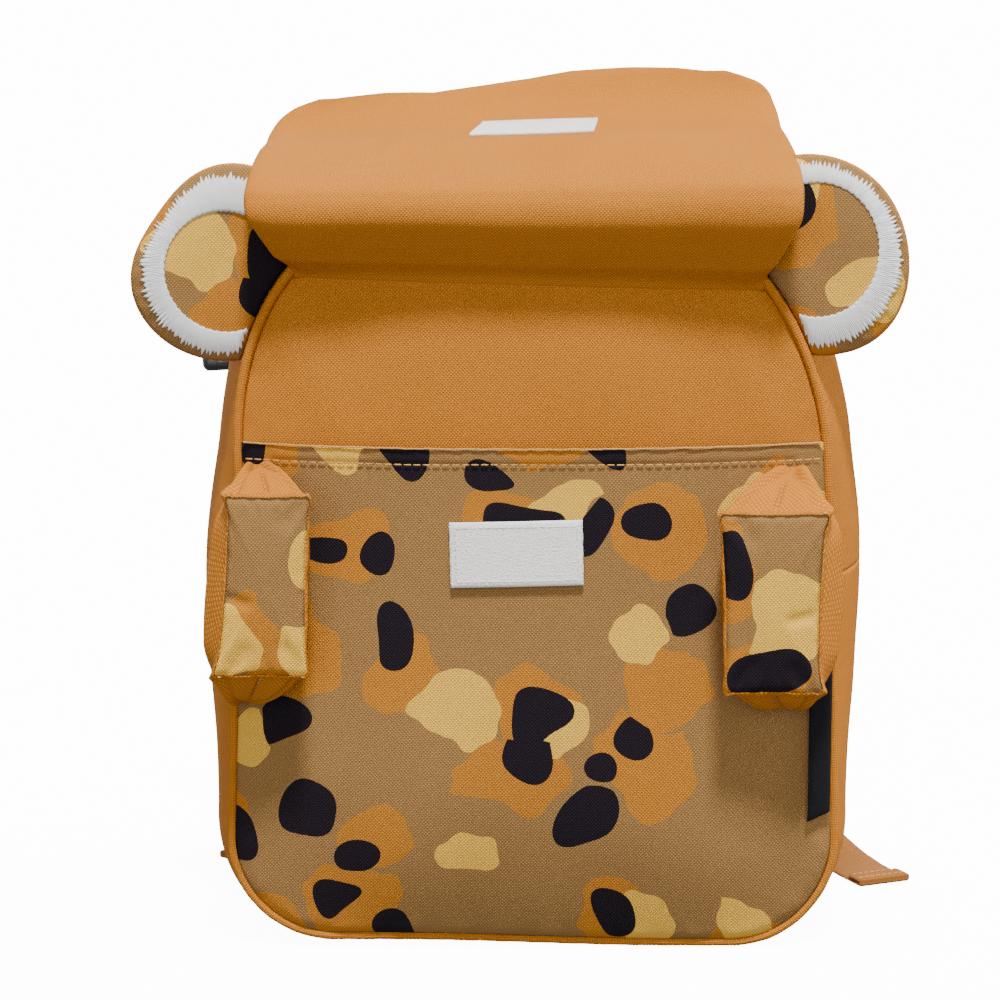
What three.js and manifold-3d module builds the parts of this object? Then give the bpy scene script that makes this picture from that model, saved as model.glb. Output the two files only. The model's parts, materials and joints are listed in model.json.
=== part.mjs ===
import * as THREE from 'three';
import Module from 'manifold-3d';

// A child's padded backpack standing on its flat bottom, in millimetres, +Z up, front facing -Y.
// The origin is on the floor under the middle of the bag.

// Bag body: two seams, front and back, follow one outline, and the gusset bulges between them.
const bagDepth = 124;
const seamRise = 5;
const seamHeight = 299;
const lowHalf = 123;
const shoulderHalf = 117.5;
const shoulderHeight = 203;
const bottomRadius = 42;
const topCornerWidth = 75;
const swayLow = 1.5;
const swayHigh = -2.7;
const cloth = 1.5;
const clear = 0.3;
const pipingRadius = 2;
const panelCrown = 8;

// Front pocket, its touch fastener and the woven side label.
const hemHeight = 211;
const pocketSlack = 9;
const stripThickness = 1.2;
const pocketStripWidth = 53;
const pocketStripHeight = 27;
const pocketStripX = -7;
const pocketStripZ = 168.5;
const labelTop = 113;
const labelLength = 55;
const labelWidth = 9;

// Gusset: the zip runs round the top between the two side seams.
const sideSeamHeight = 155;
const zipWidth = 8;
const zipStand = 0.6;
const sliderLength = 11;
const sliderHeight = 4;
const sliderPlace = 0.76;

// Flap: it hinges on a seam across the front panel and lies back over the top.
const hingeDrop = 30.5;
const flapInset = 10;
const flapHalf = shoulderHalf - flapInset;
const flapThickness = 7;
const hingeThickness = 2;
const flapStripWidth = 53;
const flapStripX = 4;

// Ears, sewn in the front seam at the top corners.
const earRadius = 38.5;
const earThickness = 12;
const earEdge = 2.6;
const earDrop = 20;
const earOut = earRadius * 0.714;
const ringInset = 2.4;
const ringWidth = 10;
const ringThickness = 0.8;

// Paws: stuffed arms with a printed face, sewn to the pocket beside the front seam.
const pawWidth = 36;
const pawHeight = 74;
const pawReach = 31;
const pawX = lowHalf - pawWidth * 2 / 3;
const pawZ = hemHeight - pawHeight * 0.784;

// Back: padded panel, shoulder straps, webbing, chest strap and carry handle.
const backCrown = 4;
const backPad = 8;
const strapWidth = 46;
const strapThickness = 9;
const webbingWidth = 25;
const webbingThickness = 1.6;
const adjusterHeight = 20;
const adjusterThickness = 6;
const chestWidth = 18;
const clipWidth = 22;
const clipLength = 28;
const clipThickness = 7;
const handleWidth = 20;

const front = -bagDepth / 2;
const back = bagDepth / 2;
const seamTop = seamRise + seamHeight;
const seamInset = pipingRadius + clear;
const gussetHalf = bagDepth / 2 - seamInset;
const hingeHeight = seamTop - hingeDrop;

const finish = {
  mustard: { color: 0xc28a3e, roughness: 0.82 },
  print: { color: 0x93713f, roughness: 0.82 },
  webbing: { color: 0xa8742f, roughness: 0.88 },
  thread: { color: 0xece7dd, roughness: 0.6 },
  fastener: { color: 0xdedad2, roughness: 0.95 },
  black: { color: 0x191a1c, roughness: 0.5 },
};

const wasm = await Module();
wasm.setup();

const group = new THREE.Group();

// The one list of points and triangles that a piece grows in; equal points are merged.
class Body {
  constructor() {
    this.points = [];
    this.triangles = [];
    this.known = new Map();
  }

  place(p) {
    const key = [p.x, p.y, p.z].map((value) => Math.round(value * 1000)).join();
    if (!this.known.has(key)) {
      this.known.set(key, this.points.length);
      this.points.push([p.x, p.y, p.z]);
    }
    return this.known.get(key);
  }

  triangle(a, b, c) {
    const corners = [a, b, c].map((p) => this.place(p));
    if (new Set(corners).size === 3) this.triangles.push(corners);
  }

  quad(a, b, c, d) {
    this.triangle(a, b, c);
    this.triangle(a, c, d);
  }

  volume() {
    const [a, b, c] = [0, 1, 2].map(() => new THREE.Vector3());
    return this.triangles.reduce((sum, corners) => {
      [a, b, c].forEach((v, i) => v.fromArray(this.points[corners[i]]));
      return sum + a.dot(b.cross(c)) / 6;
    }, 0);
  }

  solid() {
    const outward = this.volume() > 0;
    const triangles = outward ? this.triangles : this.triangles.map(([a, b, c]) => [a, c, b]);
    return new wasm.Manifold(new wasm.Mesh({
      numProp: 3,
      vertProperties: new Float32Array(this.points.flat()),
      triVerts: new Uint32Array(triangles.flat()),
    }));
  }
}

const point = (x, y, z) => new THREE.Vector3(x, y, z);
const clamp = THREE.MathUtils.clamp;
const lerp = THREE.MathUtils.lerp;

// A cloth or pad between two nets of points, closed along its rims.
function slab(rows, cols, outer, inner, { ring = false, pole = false } = {}) {
  const body = new Body();
  const next = (j) => (ring ? (j + 1) % cols : j + 1);
  for (let i = 0; i < rows; i++) {
    for (let j = 0; j < cols; j++) {
      const k = next(j);
      body.quad(outer(i, j), outer(i + 1, j), outer(i + 1, k), outer(i, k));
      body.quad(inner(i, j), inner(i, k), inner(i + 1, k), inner(i + 1, j));
    }
  }
  for (let j = 0; j < cols; j++) {
    const k = next(j);
    body.quad(outer(0, j), outer(0, k), inner(0, k), inner(0, j));
    if (!pole) body.quad(outer(rows, k), outer(rows, j), inner(rows, j), inner(rows, k));
  }
  for (let i = 0; i < rows && !ring; i++) {
    body.quad(outer(i + 1, 0), outer(i, 0), inner(i, 0), inner(i + 1, 0));
    body.quad(outer(i, cols), outer(i + 1, cols), inner(i + 1, cols), inner(i, cols));
  }
  return body;
}

// A bar through rows of points of equal count, capped at both ends or closed on itself.
function loft(rows, closed = false) {
  const body = new Body();
  const count = rows[0].length;
  const spans = closed ? rows.length : rows.length - 1;
  for (let i = 0; i < spans; i++) {
    const here = rows[i];
    const there = rows[(i + 1) % rows.length];
    for (let j = 0; j < count; j++) {
      const k = (j + 1) % count;
      body.quad(here[j], here[k], there[k], there[j]);
    }
  }
  if (closed) return body;
  const first = rows[0];
  const last = rows[rows.length - 1];
  for (let j = 1; j < count - 1; j++) {
    body.triangle(first[0], first[j + 1], first[j]);
    body.triangle(last[0], last[j], last[j + 1]);
  }
  return body;
}

// The soft bag sways to one side near its top, and every piece shifts with its height.
const swayFrom = seamHeight * 0.62;
const swayTo = seamHeight * 0.96;
const sway = (z) => lerp(swayLow, swayHigh, THREE.MathUtils.smoothstep(z, swayFrom, swayTo));

function add(name, part, look) {
  const solid = part instanceof Body ? part.solid() : part;
  const { vertProperties, triVerts } = solid.getMesh();
  const positions = new Float32Array(vertProperties);
  for (let i = 0; i < positions.length; i += 3) positions[i] += sway(positions[i + 2]);
  const geometry = new THREE.BufferGeometry();
  geometry.setAttribute('position', new THREE.BufferAttribute(positions, 3));
  geometry.setIndex(new THREE.BufferAttribute(new Uint32Array(triVerts), 1));
  geometry.computeVertexNormals();
  const mesh = new THREE.Mesh(geometry, new THREE.MeshStandardMaterial({ ...look, metalness: 0 }));
  mesh.name = name;
  group.add(mesh);
}

// Right half of the seam outline, from the middle of the bottom to the middle of the top.
const halfOutline = new THREE.Path();
halfOutline.moveTo(0, seamRise);
halfOutline.lineTo(lowHalf - bottomRadius, seamRise);
halfOutline.absarc(lowHalf - bottomRadius, seamRise + bottomRadius, bottomRadius, -Math.PI / 2, 0);
halfOutline.lineTo(shoulderHalf, shoulderHeight);
halfOutline.absellipse(shoulderHalf - topCornerWidth, shoulderHeight, topCornerWidth,
  seamTop - shoulderHeight, 0, Math.PI / 2);
halfOutline.lineTo(0, seamTop);

// A point of the outline and its outward direction; share runs 0 to 1 up the right side, then
// 1 to 2 down the left, and -1 to 0 is the left side again.
function seamAt(share) {
  const turned = share > 1 ? share - 2 : share;
  const side = turned < 0 ? -1 : 1;
  const p = halfOutline.getPointAt(Math.abs(turned));
  const t = halfOutline.getTangentAt(clamp(Math.abs(turned), 0.001, 0.999));
  return { x: side * p.x, z: p.y, nx: side * t.y, nz: -t.x };
}

function shareAtHeight(height) {
  let low = 0;
  let high = 1;
  for (let i = 0; i < 40; i++) {
    const middle = (low + high) / 2;
    if (seamAt(middle).z < height) low = middle;
    else high = middle;
  }
  return low;
}

// Everything sewn to the seam has its corners at the same shares of it: each stretch of the
// outline in equal steps, with the side seam and the pocket's hem among them.
const stretchSteps = [2, 6, 7, 9, 2];
const sideShare = shareAtHeight(sideSeamHeight);
const hemShare = shareAtHeight(hemHeight);

function shareList() {
  const total = halfOutline.getLength();
  const ends = [0, ...halfOutline.getCurveLengths()].map((length) => length / total);
  const even = stretchSteps.flatMap((steps, k) =>
    Array.from({ length: steps }, (_, i) => lerp(ends[k], ends[k + 1], i / steps)));
  const near = 2 * cloth / total;
  const isApart = (share) => [sideShare, hemShare].every((kept) => Math.abs(share - kept) > near);
  return [...even.filter(isApart), sideShare, hemShare, 1].sort((a, b) => a - b);
}

const halfShares = shareList();
const seamShares = [...halfShares.slice(1, -1).map((share) => -share).reverse(), ...halfShares];
const sharesBelow = (top) => seamShares.filter((share) => Math.abs(share) <= top);

function seamHalf(z) {
  if (z < seamRise + bottomRadius) {
    const fall = clamp(seamRise + bottomRadius - z, 0, bottomRadius);
    return lowHalf - bottomRadius + Math.sqrt(bottomRadius ** 2 - fall ** 2);
  }
  if (z < shoulderHeight) {
    const rise = (z - seamRise - bottomRadius) / (shoulderHeight - seamRise - bottomRadius);
    return lerp(lowHalf, shoulderHalf, rise);
  }
  const climb = clamp((z - shoulderHeight) / (seamTop - shoulderHeight), 0, 1);
  return shoulderHalf - topCornerWidth + topCornerWidth * Math.sqrt(1 - climb ** 2);
}

// How far a panel has swelled at a point: 0 at its seam and 1 over its middle.
const swellRun = seamHeight * 0.3;
const climbPower = 2.2;
const acrossPower = 2.4;

function swell(x, z) {
  const ease = (distance) => 1 - (1 - clamp(distance / swellRun, 0, 1)) ** climbPower;
  const across = Math.max(1 - (Math.abs(x) / seamHalf(z)) ** acrossPower, 0);
  return across * ease(z - seamRise) * ease(seamTop - z);
}

const panelFace = (x, z) => front - cloth / 2 - panelCrown * swell(x, z);
const pocketBack = (x, z) => panelFace(x, z) - clear - pocketSlack * swell(x, z);
const pocketFace = (x, z) => pocketBack(x, z) - cloth;
const backFace = (x, z) => back + cloth / 2 + backCrown * swell(x, z);
const backInside = (x, z) => back - cloth / 2 - backPad * Math.min(1, 4 * swell(x, z));

// Rings of a panel run from its edge in to a short upright line up its middle.
const ringSteps = [0, 0.1, 0.28, 0.6, 1];

function panel(edge, lineLow, lineHigh, outerFace, innerFace) {
  const spot = (i, j) => {
    const { x, z } = edge[j];
    const inward = ringSteps[i];
    return [x * (1 - inward), lerp(z, clamp(z, lineLow, lineHigh), inward)];
  };
  const on = (face) => (i, j) => {
    const [x, z] = spot(i, j);
    return point(x, face(x, z), z);
  };
  return slab(ringSteps.length - 1, edge.length, on(outerFace), on(innerFace), { ring: true, pole: true });
}

function insetSeam(share, inset) {
  const { x, z, nx, nz } = seamAt(share);
  return { x: x - nx * inset, z: z - nz * inset };
}

const lineLow = seamRise + seamHeight * 0.3;
const lineHigh = seamTop - seamHeight * 0.35;
const panelEdge = seamShares.map((share) => insetSeam(share, seamInset));
const panelInside = (x, z) => panelFace(x, z) + cloth;
add('front_panel', panel(panelEdge, lineLow, lineHigh, panelFace, panelInside), finish.mustard);
add('back_panel', panel(panelEdge, lineLow, lineHigh, backFace, backInside), finish.mustard);

// The pocket is the front panel's lower part again, open along a straight hem.
function pocketEdge() {
  const hemSteps = 12;
  const edge = sharesBelow(hemShare).map((share) => insetSeam(share, seamInset));
  const [start, end] = [edge[edge.length - 1], edge[0]];
  for (let j = 1; j < hemSteps; j++) {
    edge.push({ x: lerp(start.x, end.x, j / hemSteps), z: lerp(start.z, end.z, j / hemSteps) });
  }
  return edge;
}

const pocketLineHigh = hemHeight - (hemHeight - lineLow) * 0.45;
add('front_pocket', panel(pocketEdge(), lineLow, pocketLineHigh, pocketFace, pocketBack), finish.print);

// A small patch that lies on a face, between x and z limits.
function patch(cols, rows, [x0, x1], [z0, z1], face, thickness) {
  const net = (gap) => (i, j) => {
    const x = lerp(x0, x1, j / cols);
    const z = lerp(z0, z1, i / rows);
    return point(x, face(x, z) - gap, z);
  };
  return slab(rows, cols, net(clear + thickness), net(clear));
}

const about = (middle, size) => [middle - size / 2, middle + size / 2];
const stripX = about(pocketStripX, pocketStripWidth);
const stripZ = about(pocketStripZ, pocketStripHeight);
add('pocket_strip', patch(4, 2, stripX, stripZ, pocketFace, stripThickness), finish.fastener);

function label(grow) {
  const outer = seamHalf(labelTop - labelLength) - seamInset - clear + grow;
  const spanX = [outer - labelWidth - 2 * grow, outer];
  const spanZ = [labelTop - labelLength - grow, labelTop + grow];
  return patch(1, 3, spanX, spanZ, pocketFace, stripThickness + grow);
}

add('side_label', label(0), finish.black);

// Piping is a cord round the seam.
function piping(y, radius) {
  const sides = 6;
  const rows = seamShares.map((share) => {
    const { x, z, nx, nz } = seamAt(share);
    return Array.from({ length: sides }, (_, j) => {
      const turn = (2 * Math.PI * j) / sides;
      const out = radius * Math.cos(turn);
      return point(x + nx * out, y + radius * Math.sin(turn), z + nz * out);
    });
  });
  return loft(rows, true);
}

add('front_piping', piping(front, pipingRadius), finish.mustard);
add('back_piping', piping(back, pipingRadius), finish.mustard);

// How far the gusset bulges at mid depth, as a share of the bag's depth, along half the outline.
const bulgeRows = [
  { along: 0, out: 0.1 },
  { along: 0.17, out: 0.1 },
  { along: 0.3, out: 0.075 },
  { along: 0.54, out: 0.135 },
  { along: 0.68, out: 0.095 },
  { along: 0.8, out: 0.105 },
  { along: 1, out: 0.147 },
];

function bulgeAt(share) {
  const along = Math.abs(share > 1 ? share - 2 : share);
  const k = Math.min(bulgeRows.findLastIndex((row) => row.along <= along), bulgeRows.length - 2);
  const [a, b] = [bulgeRows[k], bulgeRows[k + 1]];
  const mix = THREE.MathUtils.smoothstep(along, a.along, b.along);
  return bagDepth * lerp(a.out, b.out, mix);
}

// The gusset's skin: a point at a share of the outline and a depth, stood off by lift, above floor.
const bulgePower = 2.6;

function gussetPoint(share, y, lift, floor) {
  const { x, z, nx, nz } = seamAt(share);
  const out = bulgeAt(share) * (1 - Math.abs(y / gussetHalf) ** bulgePower) + lift;
  return point(x + nx * out, y, Math.max(z + nz * out, floor));
}

function band(shares, depths, lift = 0, thickness = cloth) {
  const net = (raise, floor) => (i, j) => gussetPoint(shares[i], depths[j], raise, floor);
  return slab(shares.length - 1, depths.length - 1, net(cloth / 2 + lift, 0),
    net(cloth / 2 + lift - thickness, thickness));
}

const seamGap = clear / halfOutline.getLength();
const mirror = (depths) => depths.map((y) => -y).reverse();
const nearSeam = [-1, -0.83, -0.5].map((share) => share * gussetHalf);
add('lower_gusset', band(sharesBelow(sideShare), [...nearSeam, 0, ...mirror(nearSeam)]), finish.mustard);

const aboveSide = halfShares.filter((share) => share > sideShare && share < 1);
const upperShares = [sideShare + seamGap, ...aboveSide, 1, ...aboveSide.map((share) => 2 - share).reverse(),
  2 - sideShare - seamGap];
const frontDepths = [...nearSeam, -zipWidth / 2 - clear];
add('upper_gusset_front', band(upperShares, frontDepths), finish.mustard);
add('upper_gusset_back', band(upperShares, mirror(frontDepths)), finish.mustard);
add('zip', band(upperShares, [-zipWidth / 2, zipWidth / 2], zipStand, cloth + zipStand), finish.webbing);

// The slider stands on the zip, across the outline behind the right ear.
function slider() {
  const spread = sliderLength / 2 / halfOutline.getLength();
  const low = cloth / 2 + zipStand + clear;
  const net = (lift) => (i, j) =>
    gussetPoint(sliderPlace + (i - 0.5) * 2 * spread, (j - 0.5) * zipWidth, lift, 0);
  return slab(1, 1, net(low + sliderHeight), net(low));
}

add('zip_slider', slider(), finish.black);

// The flap's upper skin by rows from hinge to free edge: out is depth from the middle as a share
// of the bag's depth, rise is height about the crest as a share of the flap's drop to its hinge,
// half is half width as a share of the flap's own, tilt is rise per width to the right, and sag is
// how far the sides hang, as a share of the flap's half width.
const flapRows = [
  { out: -0.55, rise: -1, half: 0.87, tilt: -0.028, sag: 0 },
  { out: -0.622, rise: -0.8, half: 0.965, tilt: -0.02, sag: 0 },
  { out: -0.66, rise: -0.55, half: 1, tilt: -0.005, sag: 0 },
  { out: -0.6, rise: -0.3, half: 1, tilt: 0.01, sag: 0 },
  { out: -0.444, rise: -0.14, half: 0.995, tilt: 0.02, sag: 0.01 },
  { out: -0.258, rise: 0.01, half: 0.985, tilt: 0.025, sag: 0.02 },
  { out: -0.032, rise: 0.06, half: 0.975, tilt: 0.035, sag: 0.03 },
  { out: 0.09, rise: 0.18, half: 0.955, tilt: 0.05, sag: 0.05 },
  { out: 0.155, rise: 0.29, half: 0.885, tilt: 0.065, sag: 0.06 },
  { out: 0.2, rise: 0.385, half: 0.74, tilt: 0.075, sag: 0.065 },
];
const stripRows = [5, 6];
const crest = seamTop + bulgeAt(1) + clear + flapThickness;
const flapDrop = crest - hingeHeight;

// The hinge ends short of the piping, which comes in as the seam climbs.
function hingeHalf(side) {
  const end = hingeHeight + flapRows[0].tilt * side * seamHalf(hingeHeight);
  return seamHalf(end + hingeThickness) - seamInset - 3 * clear;
}

function flapSkin(row, share) {
  const { out, rise, half, tilt, sag } = flapRows[row];
  const width = row === 0 ? hingeHalf(Math.sign(share)) : half * flapHalf;
  const x = share * width;
  const z = crest + rise * flapDrop + tilt * x - sag * flapHalf * (x / flapHalf) ** 2;
  return row === 0 ? point(x, panelFace(x, z) - clear, z) : point(x, out * bagDepth, z);
}

// Direction from the skin into the pad, square to the row before and after.
function flapInward(row) {
  const before = flapSkin(Math.max(row - 1, 0), 0);
  const after = flapSkin(Math.min(row + 1, flapRows.length - 1), 0);
  const run = after.sub(before).normalize();
  return point(0, run.z, -run.y);
}

function flapUnder(row, share, depth) {
  const skin = flapSkin(row, share);
  if (row > 0) return skin.addScaledVector(flapInward(row), depth);
  const z = skin.z + hingeThickness;
  return point(skin.x, panelFace(skin.x, z) - clear, z);
}

const flapCols = 12;
const flapSpan = flapRows.length - 1;
const flapNet = (face) => (i, j) => face(i, (2 * j) / flapCols - 1);
const flapBelow = (row, share) => flapUnder(row, share, flapThickness);
add('flap', slab(flapSpan, flapCols, flapNet(flapSkin), flapNet(flapBelow)), finish.mustard);

// The hook strip covers the length between two rows of the flap.
function flapStrip() {
  const cols = 4;
  const net = (lift) => (i, j) => {
    const row = stripRows[i];
    const x = flapStripX + (j / cols - 0.5) * flapStripWidth;
    const skin = flapSkin(row, x / (flapRows[row].half * flapHalf));
    const [a, b] = stripRows.map((k) => flapSkin(k, 0));
    const run = b.sub(a).normalize();
    return skin.addScaledVector(point(0, run.z, -run.y), -lift);
  };
  return slab(1, cols, net(clear + stripThickness), net(clear));
}

add('flap_strip', flapStrip(), finish.fastener);

// Space that the flap keeps clear round itself, and what is in front of its upright rows and
// above the others.
const uprightRows = 4;
const spaceDepth = earRadius;

function flapSpace() {
  const grown = (face, lift) => (i, j) => {
    const p = face(i, (2 * j) / flapCols - 1);
    p.x += Math.sign(p.x) * clear;
    if (i < uprightRows) p.y -= lift;
    else p.z += lift;
    return p;
  };
  const under = (row, share) => flapUnder(Math.max(row, 1), share, flapThickness + clear);
  return slab(flapSpan, flapCols, grown(flapSkin, spaceDepth), grown(under, 0)).solid();
}

// Each ear is a round pad whose base follows the seam outline; side is -1 left and 1 right, dent
// is how much flatter its upper outer edge is, and jowl how much fuller its lower outer edge.
const ears = [
  { name: 'left', side: -1, shift: 1.3, rise: -1.5, dent: 0.17, jowl: 0.05 },
  { name: 'right', side: 1, shift: -1.3, rise: 1.5, dent: 0, jowl: 0.11 },
];
const dentTurn = Math.PI / 5;
const jowlTurn = -Math.PI / 4;
const dentPower = 4;
const earDome = 2.2;
const earLean = 0.55;
const earSteps = 32;
const earRings = [0, 0.12, 0.5, 1];
const denseSeam = Array.from({ length: 121 }, (_, i) => seamAt(i / 120));

// Distance of a point outside the right half of the outline; negative inside it.
function outsideSeam(x, z) {
  const near = denseSeam.reduce((best, p) => {
    const gap = Math.hypot(x - p.x, z - p.z);
    return gap < best.gap ? { gap, p } : best;
  }, { gap: Infinity });
  return (x - near.p.x) * near.p.nx + (z - near.p.z) * near.p.nz > 0 ? near.gap : -near.gap;
}

function earShape({ side, shift, rise, dent, jowl }) {
  const z = seamTop - earDrop + rise;
  const centre = { x: seamHalf(z) + earOut + shift, z };
  const seat = seamInset + clear + cloth;
  const near = (turn, middle) => Math.max(0, Math.cos(turn - middle)) ** dentPower;
  const full = (turn) => earRadius * (1 - dent * near(turn, dentTurn) + jowl * near(turn, jowlTurn));
  const reach = (turn) => {
    let radius = full(turn);
    const x = () => centre.x + radius * Math.cos(turn);
    while (outsideSeam(x(), centre.z + radius * Math.sin(turn)) < seat) radius -= clear;
    return radius;
  };
  const thickness = (share) => lerp(earEdge, earThickness, Math.sqrt(1 - share ** earDome));
  const faceY = (share) => front + seamInset - (thickness(share) - earEdge) * earLean;
  const spot = (turn, radius, y) =>
    point(side * (centre.x + radius * Math.cos(turn)), y, centre.z + radius * Math.sin(turn));
  return { full, reach, thickness, faceY, spot };
}

function ear(shape) {
  const { reach, thickness, faceY, spot } = shape;
  const net = (depth) => (i, j) => {
    const turn = (2 * Math.PI * j) / earSteps;
    const share = 1 - earRings[i];
    return spot(turn, reach(turn) * share, faceY(share) + depth * thickness(share));
  };
  return slab(earRings.length - 1, earSteps, net(0), net(1), { ring: true, pole: true });
}

// The embroidered ring lies on the ear's face where the ear reaches its full radius, and stops
// where the flap covers it.
function embroidery(shape) {
  const { full, reach, faceY, spot } = shape;
  const covered = (turn) => {
    const { x, z } = spot(turn, earRadius, 0);
    return Math.abs(x) < flapHalf + ringInset && z > seamTop - earDrop;
  };
  const turns = Array.from({ length: earSteps + 1 }, (_, j) => (2 * Math.PI * j) / earSteps - Math.PI)
    .filter((turn) => reach(turn) === full(turn) && !covered(turn));
  const shares = [0, 0.5, 1].map((across) => 1 - (ringInset + across * ringWidth) / earRadius);
  const net = (lift) => (i, j) => spot(turns[j], shares[i] * full(turns[j]), faceY(shares[i]) - lift);
  return slab(shares.length - 1, turns.length - 1, net(2 * clear + ringThickness), net(2 * clear));
}

const overEars = flapSpace();
ears.forEach((place) => {
  const shape = earShape(place);
  add(`ear_${place.name}`, ear(shape).solid().subtract(overEars), finish.print);
  add(`ear_embroidery_${place.name}`, embroidery(shape), finish.thread);
});

// Sections of a paw from its root at the pocket to its face, as shares of the face's size:
// forward of the seam, inner and outer edge about the middle, low and high edge, and how far the
// middle of each edge stands out. Slant leans a paw sideways, and taper widens it upwards.
const pawRows = [
  { forward: -0.2, inner: 0.05, outer: 0.5, low: -0.66, high: 0.66, puff: 0 },
  { forward: 0.2, inner: -0.12, outer: 0.6, low: -0.62, high: 0.64, puff: 0.03 },
  { forward: 0.6, inner: -0.4, outer: 0.62, low: -0.56, high: 0.56, puff: 0.05 },
  { forward: 1, inner: -0.5, outer: 0.5, low: -0.5, high: 0.5, puff: -0.02 },
];
const paws = [
  { name: 'left', side: -1, shift: 6, rise: 6, width: 0.92, slant: 0.055, taper: -0.12 },
  { name: 'right', side: 1, shift: -6, rise: -1, width: 1.08, slant: -0.01, taper: 0.1 },
];

function pawSection(row, { side, shift, rise, width, slant, taper }) {
  const wideAt = (up) => pawWidth * width * (1 + taper * up);
  const x = (share, up) => side * (pawX + shift + share * wideAt(up)) + slant * pawHeight * up;
  const z = (share) => pawZ + rise * row.forward + share * pawHeight;
  const y = front - seamInset - row.forward * pawReach;
  const middleX = (row.inner + row.outer) / 2;
  const puffX = row.puff;
  const puffZ = (row.puff * pawWidth) / pawHeight;
  const corner = (wide, up) => point(x(wide, up), y, z(up));
  return [
    corner(row.inner, row.low), corner(middleX, row.low - puffZ), corner(row.outer, row.low),
    corner(row.outer + puffX, 0), corner(row.outer, row.high), corner(middleX, row.high + puffZ),
    corner(row.inner, row.high), corner(row.inner - puffX, 0),
  ];
}

// What the paws sit against: the pocket, the piping and the label, all grown by a little.
function pawSeat() {
  const cols = 24;
  const rows = 16;
  const half = lowHalf + pawWidth;
  const deep = front + bagDepth / 4;
  const net = (depthAt) => (i, j) => {
    const x = lerp(-half, half, j / cols);
    const z = lerp(seamRise, hemHeight + pawHeight / 4, i / rows);
    return point(x, depthAt(x, z), z);
  };
  const bag = slab(rows, cols, net((x, z) => pocketFace(x, z) - 2 * clear), net(() => deep)).solid();
  return bag.add(piping(front, pipingRadius + 2 * clear).solid()).add(label(2 * clear).solid());
}

const seat = pawSeat();
paws.forEach((place) => {
  const sections = pawRows.map((row) => pawSection(row, place));
  add(`paw_${place.name}`, loft(sections).solid().subtract(seat), finish.mustard);
  const face = sections[sections.length - 1];
  const moved = (depth) => face.map((p) => point(p.x, p.y - depth, p.z));
  add(`paw_face_${place.name}`, loft([moved(clear), moved(clear + cloth)]), finish.print);
});

// A strap along a curve; wide turns from its first to its last direction, and the section is a
// ring of [across, through] pairs about the middle.
const flatSection = [[-1, -1], [1, -1], [1, 1], [-1, 1]];
const paddedSection = [
  [-1, -0.3], [-0.86, -1], [0.86, -1], [1, -0.3], [1, 0.3], [0.86, 1], [-0.86, 1], [-1, 0.3],
];

function strap(points, steps, section, width, thickness, wideAt) {
  const curve = new THREE.CatmullRomCurve3(points, false, 'centripetal');
  const rows = Array.from({ length: steps + 1 }, (_, i) => {
    const share = i / steps;
    const middle = curve.getPointAt(share);
    const along = curve.getTangentAt(share);
    const wide = wideAt(share);
    wide.addScaledVector(along, -wide.dot(along)).normalize();
    const through = along.clone().cross(wide);
    return section.map(([a, b]) => middle.clone()
      .addScaledVector(wide, (a * width) / 2).addScaledVector(through, (b * thickness) / 2));
  });
  return loft(rows);
}

const steady = (x, y, z) => () => point(x, y, z);
const turning = (from, to, after = 0) => (share) =>
  from.clone().lerp(to, Math.max(share - after, 0) / (1 - after));

// Straps lie behind the back panel; x, back and up are measured from the middle of the panel's
// seam and from the floor, as shares of the bag's half width, depth and seam height.
const strapRows = [
  { x: 0.31, out: 0, up: 0.9 },
  { x: 0.34, out: 0.012, up: 0.85 },
  { x: 0.42, out: 0.13, up: 0.76 },
  { x: 0.54, out: 0.22, up: 0.62 },
  { x: 0.65, out: 0.23, up: 0.49 },
  { x: 0.73, out: 0.18, up: 0.38 },
];
const strapInner = strapRows[0].x * lowHalf - strapWidth / 3;
const strapRootY = backFace(strapInner, strapRows[0].up * seamTop) + clear + strapThickness / 2;
const behindBag = ({ x, out, up }) => point(x * lowHalf, strapRootY + out * bagDepth, up * seamTop);

// Where the webbing meets the triangular anchor, and the anchor's foot in the seam.
const anchorRows = { top: { x: 0.86, out: 0.06, up: 0.15 }, foot: { x: 0.93, out: 0, up: 0.1 } };
const anchorWidth = webbingWidth * 1.1;
const anchorThickness = 2 * webbingThickness;
const adjusterWidth = webbingWidth * 1.25;
const bend = webbingWidth / 4;

// The free tail of each webbing ends on the floor, heading one way as it lies there; its end is
// measured from the middle of the bag as shares of the bag's half width and depth.
const tailLying = 95;
const tailZ = webbingThickness / 2 + clear;
const tails = [
  { name: 'left', side: -1, endOut: 1.05, endBack: 0.387, headX: -0.6, headY: -0.8 },
  { name: 'right', side: 1, endOut: 1.252, endBack: 0.137, headX: 0.37, headY: -0.93 },
];

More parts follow.
